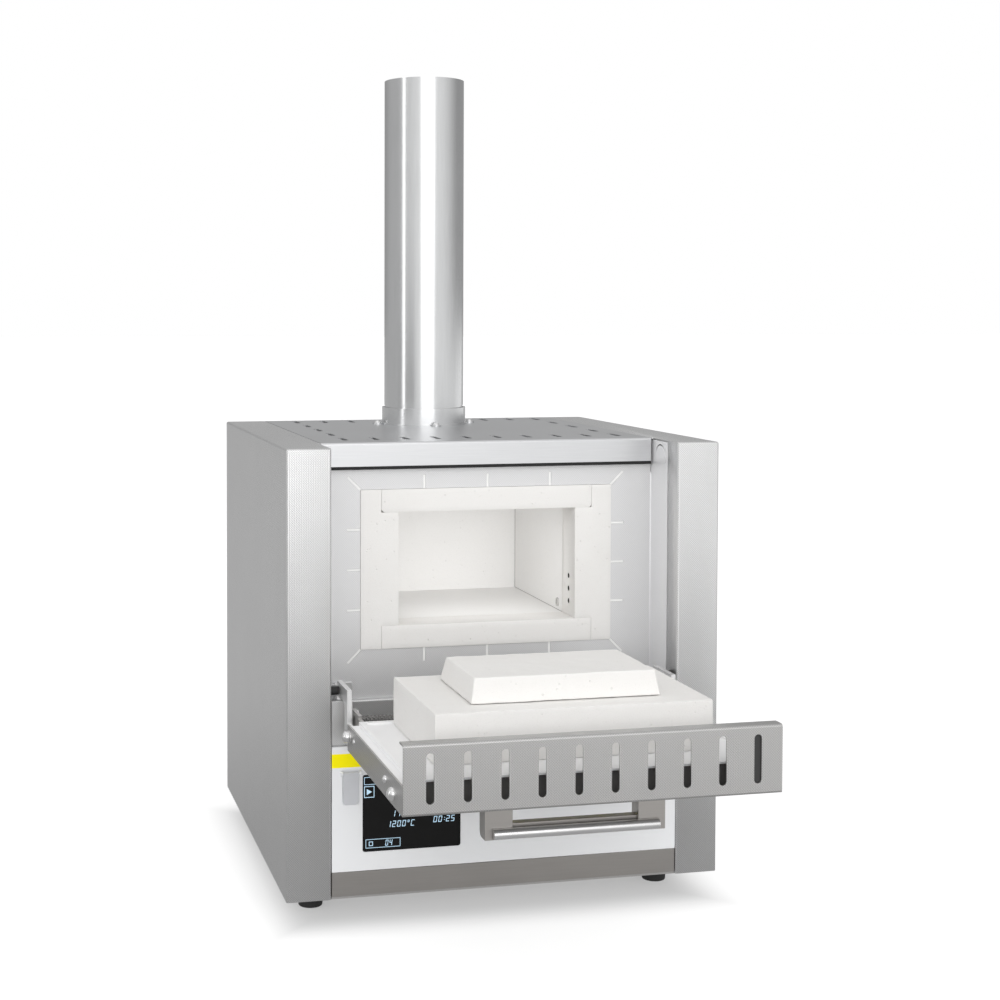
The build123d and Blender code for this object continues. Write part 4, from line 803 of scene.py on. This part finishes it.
def dome(y, z, seat, tip, radius):
    """A smooth dome whose flat side lies at one X and whose crown at another."""
    start()
    bpy.ops.mesh.primitive_uv_sphere_add(
        segments=40, ring_count=24, radius=radius, location=(seat, y, z),
        rotation=(0.0, math.radians(90.0), 0.0),
    )
    made = bpy.context.object
    bpy.ops.object.transform_apply(location=True, rotation=True, scale=True)
    away = 1.0 if tip > seat else -1.0
    only(made)
    bpy.ops.object.mode_set(mode="EDIT")
    bpy.ops.mesh.select_all(action="SELECT")
    flatness = abs(tip - seat) / radius
    bpy.ops.transform.resize(value=(flatness, 1.0, 1.0), center_override=(seat, y, z))
    bpy.ops.mesh.bisect(
        plane_co=(seat, y, z), plane_no=(away, 0.0, 0.0), clear_inner=True, use_fill=True
    )
    bpy.ops.mesh.select_all(action="SELECT")
    bpy.ops.mesh.normals_make_consistent(inside=False)
    bpy.ops.object.mode_set(mode="OBJECT")
    bpy.ops.object.shade_smooth_by_angle(angle=math.radians(50.0))
    return made


def disc(y, z, x0, x1, radius, edge):
    """A turned disc with broken edges, its axis along X."""
    start()
    bpy.ops.mesh.primitive_cylinder_add(
        vertices=48, radius=radius, depth=abs(x1 - x0), location=((x0 + x1) / 2, y, z),
        rotation=(0.0, math.radians(90.0), 0.0),
    )
    made = bpy.context.object
    bpy.ops.object.transform_apply(location=True, rotation=True, scale=True)
    add_modifier(
        made, "BEVEL", width=edge, segments=2, limit_method="ANGLE", angle_limit=math.radians(40.0)
    )
    bpy.ops.object.shade_smooth_by_angle(angle=math.radians(50.0))
    return made


def make_screw_domes():
    """The domed screws on both sides of the door, turned smooth."""
    domes = []
    for low, high in parts_of("door_screws"):
        outward = 1.0 if low.x > 0.0 else -1.0
        seat, tip = (low.x, high.x) if outward > 0.0 else (high.x, low.x)
        middle = (low + high) / 2
        domes.append(dome(middle.y, middle.z, seat, tip, (high.z - low.z) / 2))
    screws = joined(domes)
    settle(screws, "door_screws_piece", SLOT_OF["door_screws"], "door")
    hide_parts("door_screws")


# Lever bolts: nut with its dome, washer, shank and inner head
NUT_R = 4.8 * MM
NUT_DOME = 4.2 * MM
NUT_BODY = 1.8 * MM
WASHER = 0.8 * MM
WASHER_RIM = 0.6 * MM
SHANK_R = 2.0 * MM
HEAD = 2.0 * MM
HEAD_R = 3.6 * MM


def make_lever_bolts():
    """Cap nut, washer, shank and inner head of the two lever bolts."""
    turned = []
    for low, high in parts_of("lever_bolts"):
        away = 1.0 if low.x > 0.0 else -1.0
        outer, inner = (high.x, low.x) if away > 0.0 else (low.x, high.x)
        middle = (low + high) / 2
        seat = outer - away * NUT_DOME
        face = seat - away * NUT_BODY
        back = face - away * WASHER
        turned.append(dome(middle.y, middle.z, seat, outer, NUT_R))
        for x0, x1, radius, edge in (
            (face, seat, NUT_R, 0.15 * MM),
            (back, face, NUT_R + WASHER_RIM, 0.15 * MM),
            (back, inner, SHANK_R, 0.10 * MM),
            (inner + away * HEAD, inner, HEAD_R, 0.30 * MM),
        ):
            turned.append(disc(middle.y, middle.z, x0, x1, radius, edge))
    bolts = joined(turned)
    settle(bolts, "lever_bolts_piece", SLOT_OF["lever_bolts"], "door")
    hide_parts("lever_bolts")


def painted_line(name, x, y, z0, z1, wide, deep, finish="recess_steel"):
    """An upright strip with rounded edges, by default of lining sheet, that stands for a painted highlight
    or painted shade line.
    """
    start()
    bpy.ops.mesh.primitive_cube_add(size=1.0, location=(x, y, (z0 + z1) / 2))
    made = bpy.context.object
    made.scale = (wide, deep, z1 - z0)
    bpy.ops.object.transform_apply(location=True, rotation=True, scale=True)
    bpy.ops.object.mode_set(mode="EDIT")
    bpy.ops.mesh.select_all(action="SELECT")
    bpy.ops.mesh.bevel(offset=min(wide, deep) * 0.3, segments=2, affect="EDGES")
    bpy.ops.object.mode_set(mode="OBJECT")
    bpy.ops.object.shade_smooth_by_angle(angle=math.radians(40.0))
    return settle(made, name, "inner_steel", "furnace", finish)


CHAMBER_FLOOR = 20.2 * MM
CORNER_SHADE_WIDE = 0.5 * MM
CORNER_SHADE_RISE = 99.0 * MM


def make_chamber_corner_shade():
    """Grey lines where the right plate of the chamber meets the floor and the rear plate: painted shade in
    those corners.
    """
    low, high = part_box("collar_sides")
    wall = high.x - MOUTH_WALL
    floor = low.z + CHAMBER_FLOOR
    front = high.y
    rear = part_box("muffle_rear")[0].y
    x = wall - CORNER_SHADE_WIDE / 2
    upright = painted_line(
        "rear_corner_shade", x, rear - CORNER_SHADE_WIDE / 2, floor + CORNER_SHADE_WIDE, floor + CORNER_SHADE_RISE,
        CORNER_SHADE_WIDE, CORNER_SHADE_WIDE, "painted_corner_shade",
    )
    level = painted_line(
        "floor_corner_shade", x, (front + rear) / 2, floor, floor + CORNER_SHADE_WIDE,
        CORNER_SHADE_WIDE, rear - front, "painted_corner_shade",
    )


# Bright strips in the recess corners: painted highlight lines.
BEAD_WIDE = 1.3 * MM
BEAD_DEEP = 0.9 * MM
BEAD_PROUD = 0.35 * MM
BEAD_OUT = 0.1 * MM
BEAD_LOW_END = 2.0 * MM
BEAD_HIGH_END = 30.0 * MM


def make_corner_highlights():
    """Bright strips in the two rear corners of the recess: a painted highlight along each bend, over the
    gap there.
    """
    low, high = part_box("front_plate")
    for side, word in ((-1, "left"), (1, "right")):
        painted_line(
            "corner_highlight_" + word, side * (high.x + BEAD_OUT), low.y - BEAD_PROUD,
            low.z + BEAD_LOW_END, high.z - BEAD_HIGH_END, BEAD_WIDE, BEAD_DEEP,
        )


# Display signs

SIGN_DEPTH = 0.05 * MM
DIGITS = {
    "0": "abcdef", "1": "bc", "2": "abged", "4": "fgbc", "5": "afgcd", "9": "abcdfg", "C": "adef",
}
DIGIT_LINE = 0.115
DIGIT_STEP = 1.45
DIGIT_LEAN = 0.16

# Signs in millimetres from the upper left corner of the display: number, its left and low edge, wide, tall
NUMBERS = (
    ("1200oC", 20.6, 45.4, 3.0, 5.3),
    ("1195", 24.5, 36.6, 3.0, 5.3),
    ("00:25", 61.0, 43.7, 3.0, 5.3),
    ("04", 19.0, 60.9, 2.4, 5.0),
)
# Boxes: left, top, right and low edge, and the line
BOXES = (
    (0.9, 1.7, 13.0, 8.2, 0.45),
    (0.9, 9.4, 9.8, 19.2, 0.6),
    (2.2, 54.6, 32.4, 62.2, 0.45),
    (5.0, 56.6, 8.6, 60.4, 0.6),
)
START_KEY = (4.7, 14.3, 3.0)


def bar(x0, x1, z0, z1, y):
    """A flat bar of light with its corners cut, a little proud of the glass."""
    start()
    bpy.ops.mesh.primitive_cube_add(size=1.0, location=((x0 + x1) / 2, y - SIGN_DEPTH / 2, (z0 + z1) / 2))
    made = bpy.context.object
    made.scale = (abs(x1 - x0), SIGN_DEPTH, abs(z1 - z0))
    only(made)
    bpy.ops.object.transform_apply(location=True, rotation=True, scale=True)
    narrow = min(abs(x1 - x0), abs(z1 - z0))
    bpy.ops.object.mode_set(mode="EDIT")
    bpy.ops.mesh.select_all(action="DESELECT")
    bpy.ops.object.mode_set(mode="OBJECT")
    for edge in made.data.edges:
        first, second = (made.data.vertices[i].co for i in edge.vertices)
        edge.select = abs(first.y - second.y) > SIGN_DEPTH / 2
    bpy.ops.object.mode_set(mode="EDIT")
    bpy.ops.mesh.select_mode(type="EDGE")
    bpy.ops.mesh.bevel(offset=narrow * 0.42, segments=1, affect="EDGES")
    bpy.ops.object.mode_set(mode="OBJECT")
    return made


def outline(x0, x1, z0, z1, y, line):
    """Four bars round a box."""
    return [
        bar(x0, x1, z1 - line, z1, y),
        bar(x0, x1, z0, z0 + line, y),
        bar(x0, x0 + line, z0, z1, y),
        bar(x1 - line, x1, z0, z1, y),
    ]


def digit(sign, x, z, wide, tall, y, line):
    """The lit bars of one digit."""
    middle = z + tall / 2
    gap = line * 0.12
    spans = {
        "a": (x + gap, x + wide - gap, z + tall - line, z + tall),
        "g": (x + gap, x + wide - gap, middle - line / 2, middle + line / 2),
        "d": (x + gap, x + wide - gap, z, z + line),
        "f": (x, x + line, middle + gap, z + tall - gap),
        "b": (x + wide - line, x + wide, middle + gap, z + tall - gap),
        "e": (x, x + line, z + gap, middle - gap),
        "c": (x + wide - line, x + wide, z + gap, middle - gap),
    }
    return [bar(*spans[part], y) for part in DIGITS[sign]]


def number(text, x, z, wide, tall, y):
    """A row of leaning digits."""
    line = tall * DIGIT_LINE
    step = wide * DIGIT_STEP
    bars = []
    for sign in text:
        if sign == ":":
            bars.append(bar(x + line, x + 2.2 * line, z + tall * 0.24, z + tall * 0.40, y))
            bars.append(bar(x + line, x + 2.2 * line, z + tall * 0.60, z + tall * 0.76, y))
            x += step * 0.55
        elif sign == "o":
            bars += outline(x, x + wide * 0.55, z + tall * 0.62, z + tall, y, line * 0.8)
            x += step * 0.75
        else:
            bars += digit(sign, x, z, wide, tall, y, line)
            x += step
    row = joined(bars)
    for vertex in row.data.vertices:
        vertex.co.x += DIGIT_LEAN * (vertex.co.z - z)
    return row


def arrow(x, z, size, y):
    """A solid arrow head that points right."""
    start()
    bpy.ops.mesh.primitive_circle_add(vertices=3, radius=size, fill_type="NGON", location=(x, y, z))
    made = bpy.context.object
    only(made)
    made.rotation_euler = (math.radians(90.0), math.radians(90.0), 0.0)
    bpy.ops.object.transform_apply(location=True, rotation=True, scale=True)
    bpy.ops.object.mode_set(mode="EDIT")
    bpy.ops.mesh.select_all(action="SELECT")
    bpy.ops.mesh.extrude_region_move(TRANSFORM_OT_translate={"value": (0.0, -SIGN_DEPTH, 0.0)})
    bpy.ops.mesh.select_all(action="SELECT")
    bpy.ops.mesh.normals_make_consistent(inside=False)
    bpy.ops.object.mode_set(mode="OBJECT")
    return made


def make_display_signs():
    """Numbers, boxes and a start key on the display."""
    low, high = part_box("display_glass")
    y = low.y

    def at(x, z):
        """A place on the glass, counted from its upper left corner in millimetres."""
        return low.x + x * MM, high.z - z * MM

    parts = []
    for text, x, z, wide, tall in NUMBERS:
        parts.append(number(text, *at(x, z), wide * MM, tall * MM, y))
    for x0, z1, x1, z0, line in BOXES:
        left, top = at(x0, z1)
        right, bottom = at(x1, z0)
        parts += outline(left, right, bottom, top, y, line * MM)
    x, z, size = START_KEY
    parts.append(arrow(*at(x, z), size * MM, y))
    signs = joined(parts)
    settle(signs, "display_signs", "display_black", "furnace", "display_light")


# Stage, light and camera

FLOOR_SIZE = 60.0
FLOOR_DROP = 0.5 * MM


def make_floor():
    """A wide pale floor that keeps the object's shadow, with painted shadow round the base for the eye and
    painted shade near the object in reflections.
    """
    start()
    bpy.ops.mesh.primitive_plane_add(size=FLOOR_SIZE, location=(0.0, 0.0, -FLOOR_DROP))
    floor = bpy.context.object
    floor.name = "floor"
    made, s = material("floor_pale")
    rays = s.tree.nodes.new("ShaderNodeLightPath")
    seen = Value(s, rays.outputs["Is Camera Ray"])
    mirrored = Value(s, rays.outputs["Is Glossy Ray"])
    through = Value(s, rays.outputs["Is Transmission Ray"])
    direct = (seen + through).limited()
    x, y, _ = s.axes()
    # Seen in reflections the floor is painted darker near the object and lighter far off: painted shade.
    ahead = (x - y).step(0.27, 1.65)
    low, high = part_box("base_plate")
    middle = (low + high) / 2
    half = (high - low) / 2
    beside = (abs(x - middle.x) - half.x).larger(abs(y - middle.y) - half.y)
    # Painted shadow: the floor seen by the eye darkens towards and under the base.
    clear = beside.step(-0.03, 0.035)
    tone = s.mix(direct, (0.82, 0.82, 0.82), (0.95, 0.95, 0.95))
    plain = s.node("BsdfDiffuse", None, {"Color": tone, "Roughness": 0.5})
    behind = y.step(0.1, 0.9)
    level = 0.36 + ahead * 0.64 + behind * 0.14
    level = level + direct * (0.68 + clear * 0.67 - level)
    glow = s.node("Emission", None, {"Color": (1.0, 1.0, 1.0), "Strength": level})
    share = direct * 0.50 + mirrored * 0.85
    s.surface(s.node("MixShader", None, {0: share, 1: plain, 2: glow}))
    floor.data.materials.append(made)


def make_world():
    """White for the eye, brighter ahead than behind for the light that falls on the object."""
    world = bpy.data.worlds.new("studio")
    bpy.context.scene.world = world
    s = Shader(world)
    rays = s.tree.nodes.new("ShaderNodeLightPath")
    seen = Value(s, rays.outputs["Is Camera Ray"])
    mirrored = Value(s, rays.outputs["Is Glossy Ray"])
    through = Value(s, rays.outputs["Is Transmission Ray"])
    x, y, z = s.axes("Generated")
    front = (y * -1.0).step(-0.2, 1.0)
    above = z.step(0.1, 0.9)
    left = (x * -1.0).step(0.25, 0.9) * (1.0 - front)
    glossy = 0.38 + front * 0.60 + left * 0.16 + above * 0.35 * (1.0 - front)
    plain = 0.55 + front * 0.86
    level = plain + mirrored * (glossy - plain)
    level = level + (seen + through).limited() * (1.0 - level)
    out = s.tree.nodes.new("ShaderNodeOutputWorld")
    back = s.node("Background", None, {"Color": (1.0, 1.0, 1.0), "Strength": level})
    s.put(out.inputs["Surface"], back)


def softbox(name, place, aim, wide, tall, radiance):
    """A rectangular lamp that shines at a point with a given brightness of its face."""
    lamp = bpy.data.lights.new(name, "AREA")
    lamp.shape = "RECTANGLE"
    lamp.size = wide
    lamp.size_y = tall
    lamp.energy = radiance * math.pi * wide * tall
    holder = bpy.data.objects.new(name, lamp)
    bpy.context.scene.collection.objects.link(holder)
    holder.location = place
    holder.rotation_mode = "QUATERNION"
    holder.rotation_quaternion = (Vector(aim) - Vector(place)).to_track_quat("-Z", "Y")
    holder.visible_camera = False
    return holder


def make_lights():
    """Soft light from ahead, a strip at the left, a sheet overhead, a small key and a fill in the mouth."""
    softbox(
        "front_light", (-0.2, -3.0, 1.10), aim=(0.0, 0.1, 0.35), wide=2.3, tall=2.0, radiance=1.05
    )
    softbox(
        "left_strip", (-2.6, -0.5, 1.0), aim=(0.0, 0.2, 0.5), wide=0.28, tall=2.2, radiance=2.2
    )
    softbox(
        "top_light", (-0.2, -0.2, 2.7), aim=(0.0, 0.0, 0.3), wide=2.2, tall=2.2, radiance=0.28
    )
    softbox(
        "key_light", (-1.3, -2.3, 2.1), aim=(0.0, 0.0, 0.2), wide=0.35, tall=0.35, radiance=5.1
    )
    low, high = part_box("muffle_rear")
    middle = (low + high) / 2
    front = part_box("collar_lintel")[0].y
    fill = softbox(
        "mouth_fill", (middle.x, front - 6.0 * MM, middle.z), aim=(middle.x, high.y, middle.z),
        wide=0.13, tall=0.07, radiance=1.35,
    )
    fill.data.spread = math.radians(120.0)
    fill.visible_glossy = False


def make_camera():
    """The photograph's point of view."""
    yaw, pitch, roll = (math.radians(a) for a in (CAMERA_YAW, CAMERA_PITCH, CAMERA_ROLL))
    ahead = Vector((-math.sin(yaw) * math.cos(pitch), math.cos(yaw) * math.cos(pitch), -math.sin(pitch)))
    right = Vector((math.cos(yaw), math.sin(yaw), 0.0))
    up = right.cross(ahead)
    turned = right * math.cos(roll) + up * math.sin(roll)
    raised = up * math.cos(roll) - right * math.sin(roll)
    data = bpy.data.cameras.new("camera")
    data.lens = CAMERA_LENS
    data.sensor_width = CAMERA_SENSOR
    data.shift_x, data.shift_y = CAMERA_SHIFT
    data.clip_end = 100.0
    camera = bpy.data.objects.new("camera", data)
    bpy.context.scene.collection.objects.link(camera)
    turn = Matrix((turned, raised, -ahead)).transposed().to_4x4()
    camera.matrix_world = Matrix.Translation(Vector(CAMERA_PLACE)) @ turn
    bpy.context.scene.camera = camera


bpy.context.scene.view_settings.view_transform = "Standard"
dress_nodes()
make_bricks()
make_softened()
make_seal()
make_screw_domes()
make_lever_bolts()
make_bore_shade_sleeves()
make_chamber_corner_shade()
make_corner_highlights()
make_display_signs()
make_floor()
make_world()
make_lights()
make_camera()
